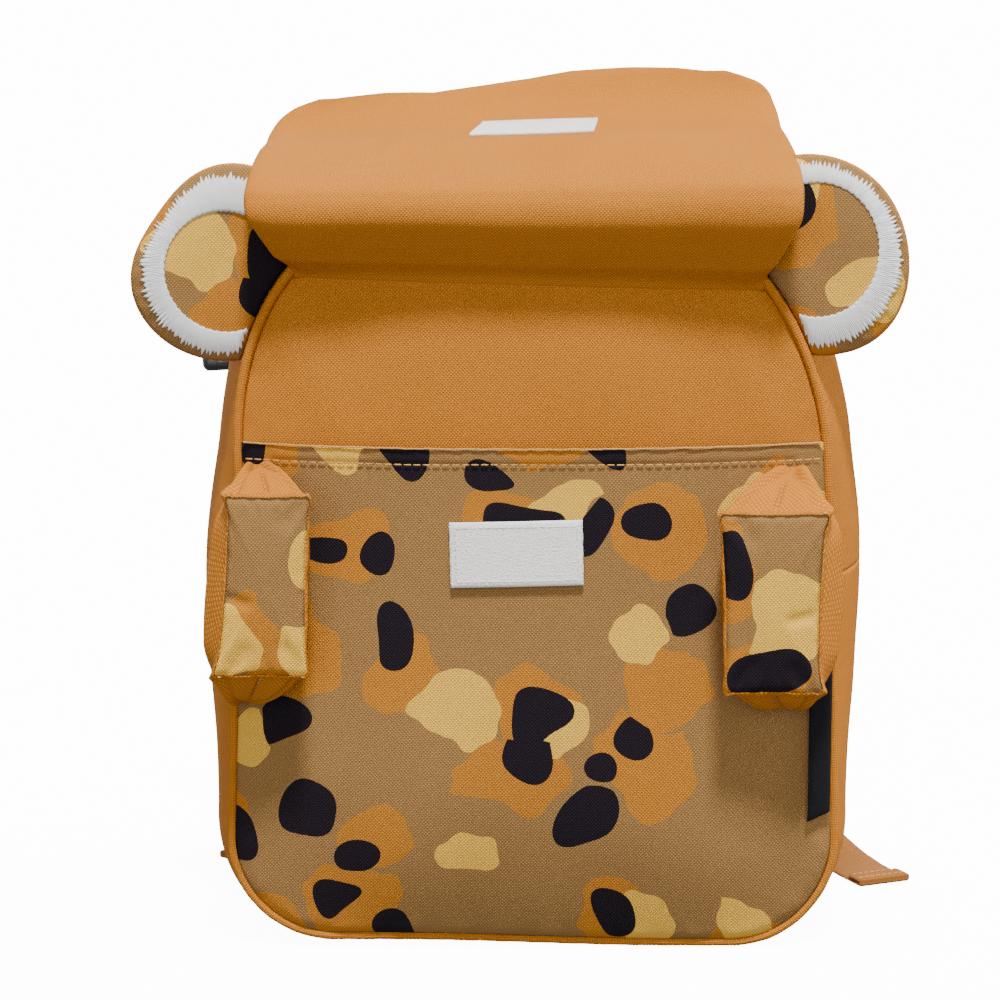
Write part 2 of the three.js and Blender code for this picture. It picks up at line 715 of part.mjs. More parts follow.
function harness({ name, side, endOut, endBack, headX, headY }) {
  const [endX, endY] = [side * endOut * lowHalf, endBack * bagDepth];
  const mirrored = (p) => point(side * p.x, p.y, p.z);
  const run = strapRows.map(behindBag).map(mirrored);
  const end = run[run.length - 1];
  add(`shoulder_strap_${name}`, strap(run, 14, paddedSection, strapWidth, strapThickness, steady(1, 0, 0)),
    finish.print);

  const fall = end.clone().sub(run[run.length - 2]).normalize();
  const buckle = end.clone().addScaledVector(fall, clear);
  const buckleEnd = buckle.clone().addScaledVector(fall, adjusterHeight);
  add(`adjuster_${name}`, strap([buckle, buckleEnd], 1, paddedSection, adjusterWidth, adjusterThickness,
    steady(1, 0, 0)), finish.black);

  const anchorTop = mirrored(behindBag(anchorRows.top));
  const slack = buckleEnd.clone().addScaledVector(fall, bend);
  const droop = anchorTop.clone().sub(slack).normalize();
  const belt = [buckleEnd.clone().addScaledVector(fall, 2 * clear), slack,
    anchorTop.clone().addScaledVector(droop, -bend), anchorTop];
  const tilted = point(0.8, 0.15 * side, 0.55 * side);
  add(`strap_webbing_${name}`, strap(belt, 6, flatSection, webbingWidth, webbingThickness,
    turning(point(1, 0, 0), tilted)), finish.webbing);

  const foot = mirrored(behindBag(anchorRows.foot)).setY(back + seamInset + anchorThickness);
  const anchor = [2 * clear, bend].map((length) => anchorTop.clone().addScaledVector(droop, length));
  add(`strap_anchor_${name}`, strap([...anchor, foot], 4, flatSection, anchorWidth, anchorThickness,
    turning(tilted, point(0.55, 0, 0.8 * side))), finish.mustard);

  const tailTop = buckleEnd.clone().addScaledVector(fall, -adjusterHeight / 2)
    .add(point(0, adjusterThickness / 2 + clear + webbingThickness, 0));
  const behind = (length, z) => point(endX - headX * length, endY - headY * length, z);
  const landing = behind(tailLying, 0);
  const rear = Math.max(tailTop.y, landing.y);
  const path = [tailTop, point(tailTop.x + side * bend, tailTop.y + bend, tailTop.z * 0.6),
    point(lerp(tailTop.x, landing.x, 0.6), rear + bend, webbingWidth),
    behind(tailLying * 0.74, bend), behind(tailLying * 0.32, tailZ),
    point(endX, endY, tailZ + webbingThickness)];
  add(`webbing_tail_${name}`, strap(path, 22, flatSection, webbingWidth, webbingThickness,
    turning(point(1, 0, 0), point(-headY, headX, 0))), finish.webbing);
}

tails.forEach(harness);

// Chest strap halves: webbing on each shoulder strap with half of a clip at its end. The left one
// reaches out past the bag's side and turns flat once it's off the padded strap, the right one
// hangs inwards.
const turnsAfter = 0.4;
const chestHalves = [
  { name: 'left', first: { x: -0.5, up: 0.74 }, last: { x: -0.95, up: 0.732 }, out: -0.02, flat: 1 },
  { name: 'right', first: { x: 0.42, up: 0.71 }, last: { x: 0.12, up: 0.66 }, out: 0.01, flat: 0 },
];

// The face of a shoulder strap at a height, where a chest strap lies on it.
function strapFace(up) {
  const k = strapRows.findIndex((row) => row.up < up);
  const [a, b] = [strapRows[k - 1], strapRows[k]];
  const out = lerp(a.out, b.out, (a.up - up) / (a.up - b.up));
  return strapRootY + out * bagDepth + strapThickness / 2 + 3 * clear + webbingThickness;
}

function chestHalf({ name, first, last, out, flat }) {
  const place = (spot, depth) => point(spot.x * lowHalf, depth, spot.up * seamTop);
  const start = place(first, strapFace(first.up));
  const end = place(last, start.y + out * bagDepth);
  const webbing = [start, start.clone().lerp(end, 0.5).add(point(0, webbingThickness, 0)), end];
  const upright = point(0, -0.25, 1);
  const turned = flat ? point(0, 1, 0.1) : upright;
  add(`chest_strap_${name}`, strap(webbing, 8, flatSection, chestWidth, webbingThickness,
    turning(upright, turned, turnsAfter)), finish.webbing);
  const run = end.clone().sub(webbing[1]).normalize();
  const clip = [2 * clear, clipLength].map((length) => end.clone().addScaledVector(run, length));
  add(`chest_clip_${name}`, strap(clip, 1, paddedSection, clipWidth, clipThickness, () => turned.clone()),
    finish.black);
}

chestHalves.forEach(chestHalf);

// Carry handle: webbing that leaves the back panel flat, turns and crosses over above the seam.
const handleTurn = 0.12;
const handleRows = [
  { x: 0.2, out: 0, up: 0.92 },
  { x: 0.2, out: 0.005, up: 0.95 },
  { x: 0.2, out: 0.03, up: 0.995 },
  { x: 0.15, out: 0.09, up: 1.05 },
  { x: 0, out: 0.13, up: 1.07 },
];

function handle() {
  const rootFace = backFace(handleRows[0].x * lowHalf / 2, handleRows[0].up * seamTop);
  const rootY = rootFace + clear + webbingThickness / 2;
  const at = (side) => ({ x, out, up }) => point(side * x * lowHalf, rootY + out * bagDepth, up * seamTop);
  const run = [...handleRows.map(at(-1)), ...handleRows.slice(0, -1).map(at(1)).reverse()];
  const wide = (share) => {
    const turn = Math.PI * THREE.MathUtils.smoothstep(share, handleTurn, 1 - handleTurn);
    return point(Math.cos(turn), Math.sin(turn), 0);
  };
  return strap(run, 20, flatSection, handleWidth, webbingThickness, wide);
}

add('carry_handle', handle(), finish.webbing);

export default group;
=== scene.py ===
import json
import math
import bmesh
import bpy
import numpy as np
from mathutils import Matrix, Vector

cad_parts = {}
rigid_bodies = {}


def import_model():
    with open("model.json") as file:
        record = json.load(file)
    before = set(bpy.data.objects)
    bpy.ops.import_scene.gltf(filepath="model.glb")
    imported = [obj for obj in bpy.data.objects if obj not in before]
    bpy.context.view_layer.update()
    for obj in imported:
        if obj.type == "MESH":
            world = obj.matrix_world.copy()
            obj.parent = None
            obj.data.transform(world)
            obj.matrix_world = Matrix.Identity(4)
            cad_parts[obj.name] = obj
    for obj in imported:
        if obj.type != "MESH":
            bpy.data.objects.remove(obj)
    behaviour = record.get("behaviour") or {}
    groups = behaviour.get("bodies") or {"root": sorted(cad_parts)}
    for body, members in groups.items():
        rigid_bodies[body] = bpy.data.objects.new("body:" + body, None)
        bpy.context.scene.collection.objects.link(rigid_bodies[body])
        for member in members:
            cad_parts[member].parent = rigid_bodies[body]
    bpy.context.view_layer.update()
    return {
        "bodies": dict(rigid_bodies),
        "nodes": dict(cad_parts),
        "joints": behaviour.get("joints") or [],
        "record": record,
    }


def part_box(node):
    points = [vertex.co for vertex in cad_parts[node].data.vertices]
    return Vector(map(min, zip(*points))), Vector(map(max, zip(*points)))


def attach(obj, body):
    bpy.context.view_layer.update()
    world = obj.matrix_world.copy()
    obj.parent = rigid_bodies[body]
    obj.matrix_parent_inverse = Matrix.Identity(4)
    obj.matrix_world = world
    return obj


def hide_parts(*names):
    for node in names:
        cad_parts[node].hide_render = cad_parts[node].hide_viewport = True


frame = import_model()
print("frame loaded")

# All sizes here are in millimetres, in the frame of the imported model; Piece.make turns them to metres.
millimetre = 0.001

# Camera, as the photograph was taken
view = {"target": (-12, -62, 187), "distance": 1250, "elevation": 11, "lens": 112.5}


def makeCamera():
    data = bpy.data.cameras.new("camera")
    data.sensor_width = 36
    data.lens = view["lens"]
    data.clip_start, data.clip_end = 0.05, 50
    camera = bpy.data.objects.new("camera", data)
    bpy.context.collection.objects.link(camera)
    lift = math.radians(view["elevation"])
    x, y, z = view["target"]
    camera.location = (x * millimetre, (y - view["distance"] * math.cos(lift)) * millimetre,
                       (z + view["distance"] * math.sin(lift)) * millimetre)
    camera.rotation_euler = (math.pi / 2 - lift, 0, 0)
    bpy.context.scene.camera = camera


makeCamera()

# Sizes that several pieces share, the same as the model's
bag = {"depth": 124, "seamRise": 5, "seamHeight": 299, "lowHalf": 123, "shoulderHalf": 117.5,
       "shoulderHeight": 203, "bottomRadius": 42, "topCornerWidth": 75, "swayLow": 1.5, "swayHigh": -2.7,
       "cloth": 1.5, "clear": 0.3, "piping": 2, "sag": 2.7, "crown": 8, "backCrown": 4, "sideSeam": 155}
sags = {"across": (-60, 60), "corner": (95, 125), "cornerShare": 0.4, "up": (5, 80), "deep": (-55, 0)}
pocket = {"hem": 211, "slack": 9, "stitchDrop": 6.3, "stripX": -7.0, "stripZ": 169.4, "stripWidth": 52.6,
          "stripHeight": 26.2, "stripTurn": 1.3, "stripThickness": 1.1, "thickness": 1.3}
front, back = -bag["depth"] / 2, bag["depth"] / 2
seamTop = bag["seamRise"] + bag["seamHeight"]
seamInset = bag["piping"] + bag["clear"]
gussetHalf = bag["depth"] / 2 - seamInset


def smoothstep(value, low, high):
    share = clamp((value - low) / (high - low))
    return share * share * (3 - 2 * share)


def lerp(a, b, share):
    return a + (b - a) * share


def clamp(value):
    return np.clip(value, 0, 1)


# A smooth hump of height 1 that fades within about two units of 0.
def hump(value):
    return np.exp(-value ** 2)


# Values of any fitting shapes as the parts of points.
def joined(*parts):
    return np.stack(np.broadcast_arrays(*parts), -1)


# Angles once round, without the last, which is the first again.
def roundTurn(count):
    return np.linspace(0, 2 * np.pi, count, endpoint=False)


def sway(z):
    height = bag["seamHeight"]
    return lerp(bag["swayLow"], bag["swayHigh"], smoothstep(z, height * 0.62, height * 0.96))


# The filled bag leans a little to the left at its top, and its front sags to the right at its foot.
def settled(points):
    x, y, z = points.T
    sag = bag["sag"] * smoothstep(x, *sags["across"]) * (1 - sags["cornerShare"] * smoothstep(x, *sags["corner"]))
    low = z - sag * (1 - smoothstep(z, *sags["up"])) * (1 - smoothstep(y, *sags["deep"]))
    return joined(x + sway(z), y, np.where(z < 0, z, np.maximum(low, 0.1 * np.minimum(z, 1))))


# A smooth wandering value between about -1 and 1, the same on every run.
def wander(x, seed, *scales):
    total = 0
    for k, scale in enumerate(scales or (1, 2.3, 4.1)):
        total = total + np.sin(x * scale + seed * (1.7 + k)) / (k + 1)
    return total / 1.6


netEdges = (np.s_[0, :], np.s_[-1, :], np.s_[:, 0], np.s_[:, -1])


# One visible piece of mesh, gathered from nets of points.
class Piece:
    def __init__(self, name):
        self.name = name
        self.points, self.faces, self.corners, self.looks = [], [], [], []
        self.count = 0

    # A net of points, with its cloth coordinates in millimetres; a wrapped side has one more of those.
    def net(self, points, cloth, wrapRows=False, wrapCols=False, look=0):
        points = np.asarray(points, float)
        rows, cols = points.shape[:2]
        index = np.arange(rows * cols).reshape(rows, cols)
        if wrapRows:
            index = np.vstack([index, index[:1]])
        if wrapCols:
            index = np.hstack([index, index[:, :1]])
        flat = np.arange(index.size).reshape(index.shape)
        pick = lambda grid: joined(grid[:-1, :-1], grid[:-1, 1:], grid[1:, 1:], grid[1:, :-1]).reshape(-1, 4)
        quads = pick(index)
        self.points.append(points.reshape(-1, 3))
        self.faces.append(quads + self.count)
        self.corners.append(np.asarray(cloth, float).reshape(-1, 2)[pick(flat)])
        self.looks.append(np.full(len(quads), look))
        self.count += rows * cols
        return self

    # Closes a tube's end with a fan to its middle.
    def cap(self, ring, cloth, look=0):
        middle = np.broadcast_to(ring.mean(0), ring.shape)
        return self.net(np.stack([ring, middle]), cloth, wrapCols=True, look=look)

    # Two layers of points, and walls that join their edges.
    def layers(self, top, low, cloth):
        self.net(top, cloth)
        for ring in netEdges:
            self.net(np.stack([top[ring], low[ring]]), np.stack([cloth[ring], cloth[ring] + 1]))
        return self.net(low, cloth)

    def make(self, materials, replaces=(), slot=None, merge=0.01, padded=None):
        points = settled(np.vstack(self.points))
        mesh = bpy.data.meshes.new(self.name)
        faces = np.vstack(self.faces)
        mesh.from_pydata((points * millimetre).tolist(), [], faces.tolist())
        layer = mesh.uv_layers.new(name="cloth")
        layer.data.foreach_set("uv", (np.vstack(self.corners) / 100).reshape(-1))
        mesh.polygons.foreach_set("material_index", np.concatenate(self.looks))
        mesh.polygons.foreach_set("use_smooth", np.ones(len(faces), bool))
        for material in materials:
            mesh.materials.append(material)
        obj = bpy.data.objects.new(self.name, mesh)
        bpy.context.collection.objects.link(obj)
        tidyMesh(mesh, merge)
        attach(obj, "root")
        if replaces:
            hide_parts(*replaces)
        return obj


def tidyMesh(mesh, merge):
    work = bmesh.new()
    work.from_mesh(mesh)
    bmesh.ops.remove_doubles(work, verts=work.verts, dist=merge * millimetre)
    bmesh.ops.recalc_face_normals(work, faces=work.faces)
    work.to_mesh(mesh)
    work.free()
    mesh.update()


# Gives a skin its thickness, always towards the inside of the bag.
def thicken(obj, thickness):
    middle = Vector((0, 0, 150 * millimetre))
    facing = sum(face.area * face.normal.dot(face.center - middle) for face in obj.data.polygons)
    solid = obj.modifiers.new("thickness", "SOLIDIFY")
    solid.thickness = thickness * millimetre
    solid.offset = -1 if facing > 0 else 1
    solid.use_even_offset = False
    return obj


# The seam's outline and the faces of the bag
def outlineTable():
    low, shoulder = bag["lowHalf"], bag["shoulderHalf"]
    radius, rise, corner = bag["bottomRadius"], bag["seamRise"], bag["topCornerWidth"]
    turn = np.linspace(-math.pi / 2, 0, 200)
    climb = np.linspace(0, math.pi / 2, 300)
    x = np.concatenate([np.linspace(0, low - radius, 80), low - radius + radius * np.cos(turn),
                        np.linspace(low, shoulder, 120), shoulder - corner + corner * np.cos(climb),
                        np.linspace(shoulder - corner, 0, 60)])
    z = np.concatenate([np.full(80, rise), rise + radius + radius * np.sin(turn),
                        np.linspace(rise + radius, bag["shoulderHeight"], 120),
                        bag["shoulderHeight"] + (seamTop - bag["shoulderHeight"]) * np.sin(climb),
                        np.full(60, seamTop)])
    keep = np.concatenate([[True], np.hypot(np.diff(x), np.diff(z)) > 1e-6])
    x, z = x[keep], z[keep]
    length = np.concatenate([[0], np.cumsum(np.hypot(np.diff(x), np.diff(z)))])
    return x, z, length


outlineX, outlineZ, outlineLength = outlineTable()
halfLength = outlineLength[-1]


# Share 0 is the middle of the bottom, 1 the middle of the top; negative or above 1 is the left side.
def seamAt(share):
    share = np.asarray(share, float)
    turned = np.where(share > 1, share - 2, share)
    side = np.where(turned < 0, -1, 1)
    along = np.abs(turned) * halfLength
    x, z = np.interp(along, outlineLength, outlineX), np.interp(along, outlineLength, outlineZ)
    step = 0.8
    ahead, behind = np.clip(along + step, 0, halfLength), np.clip(along - step, 0, halfLength)
    dx = np.interp(ahead, outlineLength, outlineX) - np.interp(behind, outlineLength, outlineX)
    dz = np.interp(ahead, outlineLength, outlineZ) - np.interp(behind, outlineLength, outlineZ)
    size = np.hypot(dx, dz)
    return side * x, z, side * dz / size, -dx / size


def shareAtHeight(height):
    onSide = outlineZ >= bag["seamRise"] + 1e-6
    return float(np.interp(height, outlineZ[onSide], outlineLength[onSide]) / halfLength)


hemShare = shareAtHeight(pocket["hem"])
sideShare = shareAtHeight(bag["sideSeam"])


# Half the seam's width at a height.
def seamHalf(z):
    z = np.asarray(z, float)
    radius, low, shoulder = bag["bottomRadius"], bag["lowHalf"], bag["shoulderHalf"]
    fall = np.clip(bag["seamRise"] + radius - z, 0, radius)
    bottom = low - radius + np.sqrt(radius ** 2 - fall ** 2)
    rise = (z - bag["seamRise"] - radius) / (bag["shoulderHeight"] - bag["seamRise"] - radius)
    side = lerp(low, shoulder, rise)
    climb = clamp((z - bag["shoulderHeight"]) / (seamTop - bag["shoulderHeight"]))
    top = shoulder - bag["topCornerWidth"] * (1 - np.sqrt(1 - climb ** 2))
    return np.where(z < bag["seamRise"] + radius, bottom, np.where(z < bag["shoulderHeight"], side, top))


# How far a panel is swollen out, from 0 at its seam to 1.
def swell(x, z):
    run = bag["seamHeight"] * 0.3
    ease = lambda distance: 1 - (1 - clamp(distance / run)) ** 2.2
    wide = np.maximum(1 - (np.abs(x) / seamHalf(z)) ** 2.4, 0)
    return wide * ease(z - bag["seamRise"]) * ease(seamTop - z)


def panelFace(x, z):
    return front - bag["cloth"] / 2 - bag["crown"] * swell(x, z)


def pocketFace(x, z):
    return panelFace(x, z) - bag["clear"] - pocket["slack"] * swell(x, z) - bag["cloth"]


def backFace(x, z):
    return back + bag["cloth"] / 2 + bag["backCrown"] * swell(x, z)


# Soft folds: each row is the two ends of a crease, its width and its height.
def folds(x, z, rows):
    total = np.zeros_like(x)
    for x0, z0, x1, z1, width, height in rows:
        along = np.array([x1 - x0, z1 - z0], float)
        length = np.hypot(*along)
        along /= length
        reach = (x - x0) * along[0] + (z - z0) * along[1]
        off = (x - x0) * along[1] - (z - z0) * along[0]
        fade = smoothstep(reach, -width, length * 0.3) * (1 - smoothstep(reach, length * 0.7, length + width))
        total += height * fade * hump(off / width)
    return total


# Shader maths
def connect(slot, value):
    if isinstance(value, Value):
        value = value.socket
    if isinstance(value, bpy.types.NodeSocket):
        slot.id_data.links.new(value, slot)
    else:
        slot.default_value = value


class Value:
    def __init__(self, socket):
        self.socket = socket

    def maths(self, operation, *values):
        node = self.socket.id_data.nodes.new("ShaderNodeMath")
        node.operation = operation
        for slot, value in zip(node.inputs, values):
            connect(slot, value)
        return Value(node.outputs[0])

    def __add__(self, other):
        return self.maths("ADD", self, other)

    def __sub__(self, other):
        return self.maths("SUBTRACT", self, other)

    def __rsub__(self, other):
        return self.maths("SUBTRACT", other, self)

    def __mul__(self, other):
        return self.maths("MULTIPLY", self, other)

    def __lt__(self, other):
        return self.maths("LESS_THAN", self, other)

    def __gt__(self, other):
        return self.maths("GREATER_THAN", self, other)

    __radd__, __rmul__ = __add__, __mul__


def paint(red, green, blue):
    return (red, green, blue, 1)


class Look:
    def __init__(self, name, **constants):
        self.material = bpy.data.materials.new(name)
        self.material.use_nodes = True
        self.nodes = self.material.node_tree.nodes
        self.nodes.clear()
        self.shader = self.nodes.new("ShaderNodeBsdfPrincipled")
        end = self.nodes.new("ShaderNodeOutputMaterial")
        self.material.node_tree.links.new(self.shader.outputs[0], end.inputs[0])
        for key, value in constants.items():
            self.shader.inputs[key.replace("_", " ")].default_value = value

    def node(self, kind, settings=None, inputs=None, out=0):
        made = self.nodes.new("ShaderNode" + kind)
        for key, value in (settings or {}).items():
            setattr(made, key, value)
        for key, value in (inputs or {}).items():
            connect(made.inputs[key], value)
        return Value(made.outputs[out])

    def feed(self, **links):
        for key, value in links.items():
            connect(self.shader.inputs[key.replace("_", " ")], value)
        return self.material

    def mix(self, share, a, b, blend="MIX"):
        return self.node("Mix", {"data_type": "RGBA", "blend_type": blend}, {0: share, 6: a, 7: b}, out=2)

    # Cloth coordinates: one unit is 100 mm.
    def cloth(self):
        return self.node("UVMap", {"uv_map": "cloth"})

    def split(self, vector):
        return [self.node("SeparateXYZ", None, {0: vector}, out=k) for k in range(3)]

    def noise(self, vector, scale, detail=2.0, out=0):
        return self.node("TexNoise", {"noise_dimensions": "2D"},
                         {"Vector": vector, "Scale": scale, "Detail": detail}, out=out)

    def bump(self, height, distance):
        return self.node("Bump", None, {"Strength": 1.0, "Distance": distance * millimetre, "Height": height})

    # A shade of grey times a colour.
    def toned(self, colour, light):
        return self.mix(1.0, colour, self.node("CombineColor", None, {0: light, 1: light, 2: light}), "MULTIPLY")


colours = {name: paint(*values) for name, values in {
    "mustard": (0.47, 0.166, 0.02), "ground": (0.28, 0.15, 0.05), "caramel": (0.45, 0.17, 0.022),
    "yellow": (0.74, 0.42, 0.06), "dark": (0.014, 0.01, 0.014), "webbing": (0.27, 0.1, 0.014),
    "white": (0.96, 0.96, 0.95), "fastener": (0.86, 0.84, 0.8), "black": (0.008, 0.008, 0.01),
    "thread": (0.62, 0.3, 0.05), "paleThread": (0.66, 0.4, 0.14)}.items()}
weave = {"across": 1.4, "up": 1.48, "depth": 0.36, "shade": 1.15}


# Oxford cloth: short raised dots in staggered rows, with yarns of slightly different weight.
def wovenHeight(look):
    u, v = look.split(look.cloth())[:2]
    grain = look.noise(look.cloth(), 40, 1.0)
    across = u * (2 * math.pi * 100 / weave["across"]) + grain * 1.1
    up = v * (2 * math.pi * 100 / weave["up"]) - grain * 1.1
    first, second = across.maths("SINE", across), up.maths("SINE", up)
    bumps = (first * first) * (second * second)
    return first * second * 0.33 + bumps * 0.36 + 0.3


def clothFinish(look, colour):
    height = wovenHeight(look)
    patches = look.noise(look.cloth(), 2.2, 3.0)
    flecks = look.noise(look.cloth(), 160, 1.0)
    # Painted shade: the colour is darkened in the weave's gaps and lightened on its raised dots; the patches and
    # flecks are random tone.
    light = height * weave["shade"] + (1 - weave["shade"] * 0.4) + (patches - 0.5) * 0.1 + (flecks - 0.5) * 0.08
    tone = look.toned(colour, light)
    return look.feed(Base_Color=tone, Roughness=0.86 - height * 0.12,
                     Normal=look.bump(height + flecks * 0.1, weave["depth"]))


def mustardCloth():
    look = Look("mustardCloth", Specular_IOR_Level=0.05)
    return clothFinish(look, colours["mustard"])


# The print: ragged caramel patches, many with a near-black spot inside, then yellow and loose dark ones.
# Each kind of spot has what its size varies by, its least size, and the cut in the picks that says
# which cells have it.
prints = {"wander": 0.17, "wanderScale": 3.1, "jag": 0.055, "jagScale": 10, "patchScale": 1.9, "spotScale": 2.5,
          "patch": (0.16, 0.27, 0.84), "yellow": (0.17, 0.2, 0.72), "loose": (0.12, 0.19, 0.27),
          "inner": (0.1, 0.16, 0.6), "innerShift": 0.16}


def printColour(look):
    plain = look.cloth()

    def shifted(base, scale, size):
        noise = look.noise(plain, scale, 0.0, out=1)
        centred = look.node("VectorMath", {"operation": "SUBTRACT"}, {0: noise, 1: (0.5, 0.5, 0.5)})
        return look.node("VectorMath", {"operation": "MULTIPLY_ADD"}, {0: centred, 1: (size,) * 3, 2: base})

    smooth = shifted(plain, prints["wanderScale"], prints["wander"])
    ragged = shifted(smooth, prints["jagScale"], prints["jag"])

    # One row of cells: how far a point is from its cell's middle, and three picks that differ by cell.
    def cells(vector, scale, shift):
        spot = look.node("VectorMath", {"operation": "ADD"}, {0: vector, 1: shift})
        settings, inputs = {"voronoi_dimensions": "2D"}, {"Vector": spot, "Scale": scale, "Randomness": 0.8}
        distance = look.node("TexVoronoi", settings, inputs)
        picks = look.split(look.node("TexVoronoi", settings, inputs, out=1))
        middle = look.node("TexVoronoi", settings, inputs, out=2)
        return distance, picks, look.node("VectorMath", {"operation": "SUBTRACT"}, {0: spot, 1: middle})

    patch, loose = (3.1, 7.3, 0), (8.7, 1.9, 0)
    distance, (pick, size, _), _ = cells(ragged, prints["patchScale"], patch)
    grow, least, cut = prints["patch"]
    colour = look.mix(distance < (size * grow + least) * (pick < cut), colours["ground"], colours["caramel"])
    distance, (pick, size, _), _ = cells(ragged, prints["spotScale"], loose)
    grow, least, cut = prints["yellow"]
    colour = look.mix(distance < (size * grow + least) * (pick > cut), colour, colours["yellow"])
    distance, (pick, size, _), _ = cells(smooth, prints["spotScale"], loose)
    grow, least, cut = prints["loose"]
    colour = look.mix(distance < (size * grow + least) * (pick < cut), colour, colours["dark"])
    _, (pick, size, other), inside = cells(smooth, prints["patchScale"], patch)
    grow, least, cut = prints["inner"]
    shift = prints["innerShift"]
    beside = look.node("CombineXYZ", None, {0: (other - 0.5) * shift, 1: (size - 0.5) * shift})
    away = look.node("VectorMath", {"operation": "DISTANCE"}, {0: inside, 1: beside}, out=1) * prints["patchScale"]
    return look.mix(away < (other * grow + least) * (pick < cut), colour, colours["dark"])


def printedCloth():
    look = Look("printedCloth", Specular_IOR_Level=0.05)
    return clothFinish(look, printColour(look))


# Thread: fine strands along the stitch, with a silky gloss.
def threadLook(name, colour, roughness=0.45):
    look = Look(name, Specular_IOR_Level=0.5, Sheen_Weight=0.2)
    v = look.split(look.cloth())[1]
    strands = v * (2 * math.pi * 100 / 0.42) + look.noise(look.cloth(), 40) * 3
    height = strands.maths("SINE", strands) * 0.5 + 0.5
    tone = look.toned(colour, height * 0.22 + 0.8)
    return look.feed(Base_Color=tone, Roughness=roughness + height * 0.1, Normal=look.bump(height, 0.12))


# Touch fastener: a pale nap of fine loops.
def fastenerLook():
    look = Look("touchFastener", Specular_IOR_Level=0.25, Sheen_Weight=0.3)
    nap = look.noise(look.cloth(), 120, 3.0)
    streaks = look.noise(look.cloth(), 26, 2.0)
    tone = look.toned(colours["fastener"], nap * 0.3 + streaks * 0.16 + 0.77)
    return look.feed(Base_Color=tone, Roughness=0.9 + nap * 0.05, Normal=look.bump(nap, 0.5))


# Woven tape: ribs that run slantwise, as on strap webbing.
def ribbedLook(name, colour, rib=1.5, slant=0.6, depth=0.35, gloss=0.15, sheen=0.05):
    look = Look(name, Specular_IOR_Level=gloss, Sheen_Weight=sheen)
    u, v = look.split(look.cloth())[:2]
    run = (v + u * slant) * (2 * math.pi * 100 / rib) + look.noise(look.cloth(), 30) * 1.5
    cross = u * (2 * math.pi * 100 / (rib * 1.3))
    height = run.maths("SINE", run) * 0.3 + cross.maths("SINE", cross) * 0.2 + 0.5
    tone = look.toned(colour, height * 0.45 + 0.74)
    return look.feed(Base_Color=tone, Roughness=0.85 - height * 0.1, Normal=look.bump(height, depth))


def plasticLook(name, **constants):
    look = Look(name, Specular_IOR_Level=0.5, **constants)
    grain = look.noise(look.cloth(), 90, 2.0)
    wear = look.noise(look.cloth(), 6, 3.0)
    tone = look.mix(wear * 0.5, colours["black"], paint(0.03, 0.03, 0.033))
    return look.feed(Base_Color=tone, Roughness=wear * 0.2 + 0.35, Normal=look.bump(grain, 0.03))


mustard, printed = mustardCloth(), printedCloth()
thread = threadLook("yellowThread", colours["thread"])
paleThread = threadLook("paleThread", colours["paleThread"])
whiteThread = threadLook("whiteThread", colours["white"], 0.4)
fastener = fastenerLook()
webbing = ribbedLook("strapWebbing", colours["webbing"])
zipTape = ribbedLook("zipTape", colours["mustard"], 0.8, 0, 0.15)
tabWeave = ribbedLook("wovenTab", colours["black"], 0.5, 0, 0.1, 0.1, 0)
plastic = plasticLook("blackPlastic")
metal = plasticLook("blackMetal", Metallic=0.7)
print("materials made")


# Panels, front and back
panels = {"edge": 1.6, "rings": 44, "across": 340, "lineLow": 0.3, "lineHigh": 0.35, "thickness": 1.2,
          "reach": 110, "puckerWidth": 6, "grooveWidth": 1.9, "groove": 1.3}
lineLow = bag["seamRise"] + bag["seamHeight"] * panels["lineLow"]
lineHigh = seamTop - bag["seamHeight"] * panels["lineHigh"]


# Rings of points from a panel's edge in to a short line up its middle.
def ringNet(edgeX, edgeZ, high, rings):
    inward = np.linspace(0, 1, rings)[:, None] ** 1.25
    return edgeX * (1 - inward), lerp(edgeZ, np.clip(edgeZ, lineLow, high), inward), inward


def panelPiece(name, shares, high, face, relief, cloth, hem=None):
    x, z, nx, nz = seamAt(shares)
    edgeX, edgeZ = x - nx * panels["edge"], z - nz * panels["edge"]
    if hem:
        steps = np.linspace(edgeX[-1], edgeX[0], 122)[1:-1]
        edgeX, edgeZ = np.concatenate([edgeX, steps]), np.concatenate([edgeZ, np.full(len(steps), hem)])
    gridX, gridZ, inward = ringNet(edgeX, edgeZ, high, panels["rings"])
    depth = face(gridX, gridZ) + relief(gridX, gridZ, inward)
    points = joined(gridX, depth, gridZ)
    flat = joined(gridX + cloth[0], gridZ + cloth[1])
    flat = np.hstack([flat, flat[:, :1]])
    piece = Piece(name)
    piece.net(points, flat, wrapCols=True)
    return piece


# Small puckers and a groove where cloth is sewn into the piped seam.
def puckers(x, z, inward, depth=0.35, seed=1.0):
    along = np.arctan2(z - 150, x) * 150
    off = inward * panels["reach"]
    near = hump(off / panels["puckerWidth"]) * smoothstep(inward, 0, 0.01)
    groove = panels["groove"] * hump(off / panels["grooveWidth"])
    return depth * wander(along / 3.1, seed, 1, 1.63, 2.9) * near + groove


allShares = np.linspace(-1, 1, panels["across"], endpoint=False)
panelFolds = [(-95, 262, -70, 205, 10, 0.8), (80, 262, 98, 210, 9, 0.7), (-30, 258, 40, 236, 22, 0.5)]


def makeFrontPanel():
    relief = lambda x, z, inward: puckers(x, z, inward) - folds(x, z, panelFolds)
    piece = panelPiece("frontPanel", allShares, lineHigh, panelFace, relief, (0, 0))
    return thicken(piece.make([mustard], ["front_panel"], "mustard_cloth"), panels["thickness"])


pocketFolds = [(-60, 30, -20, 70, 26, 1.2), (20, 60, 95, 30, 22, 1.0), (-100, 120, -80, 60, 16, 0.9),
               (70, 160, 100, 120, 14, 0.8), (-40, 120, 60, 100, 40, 1.0)]


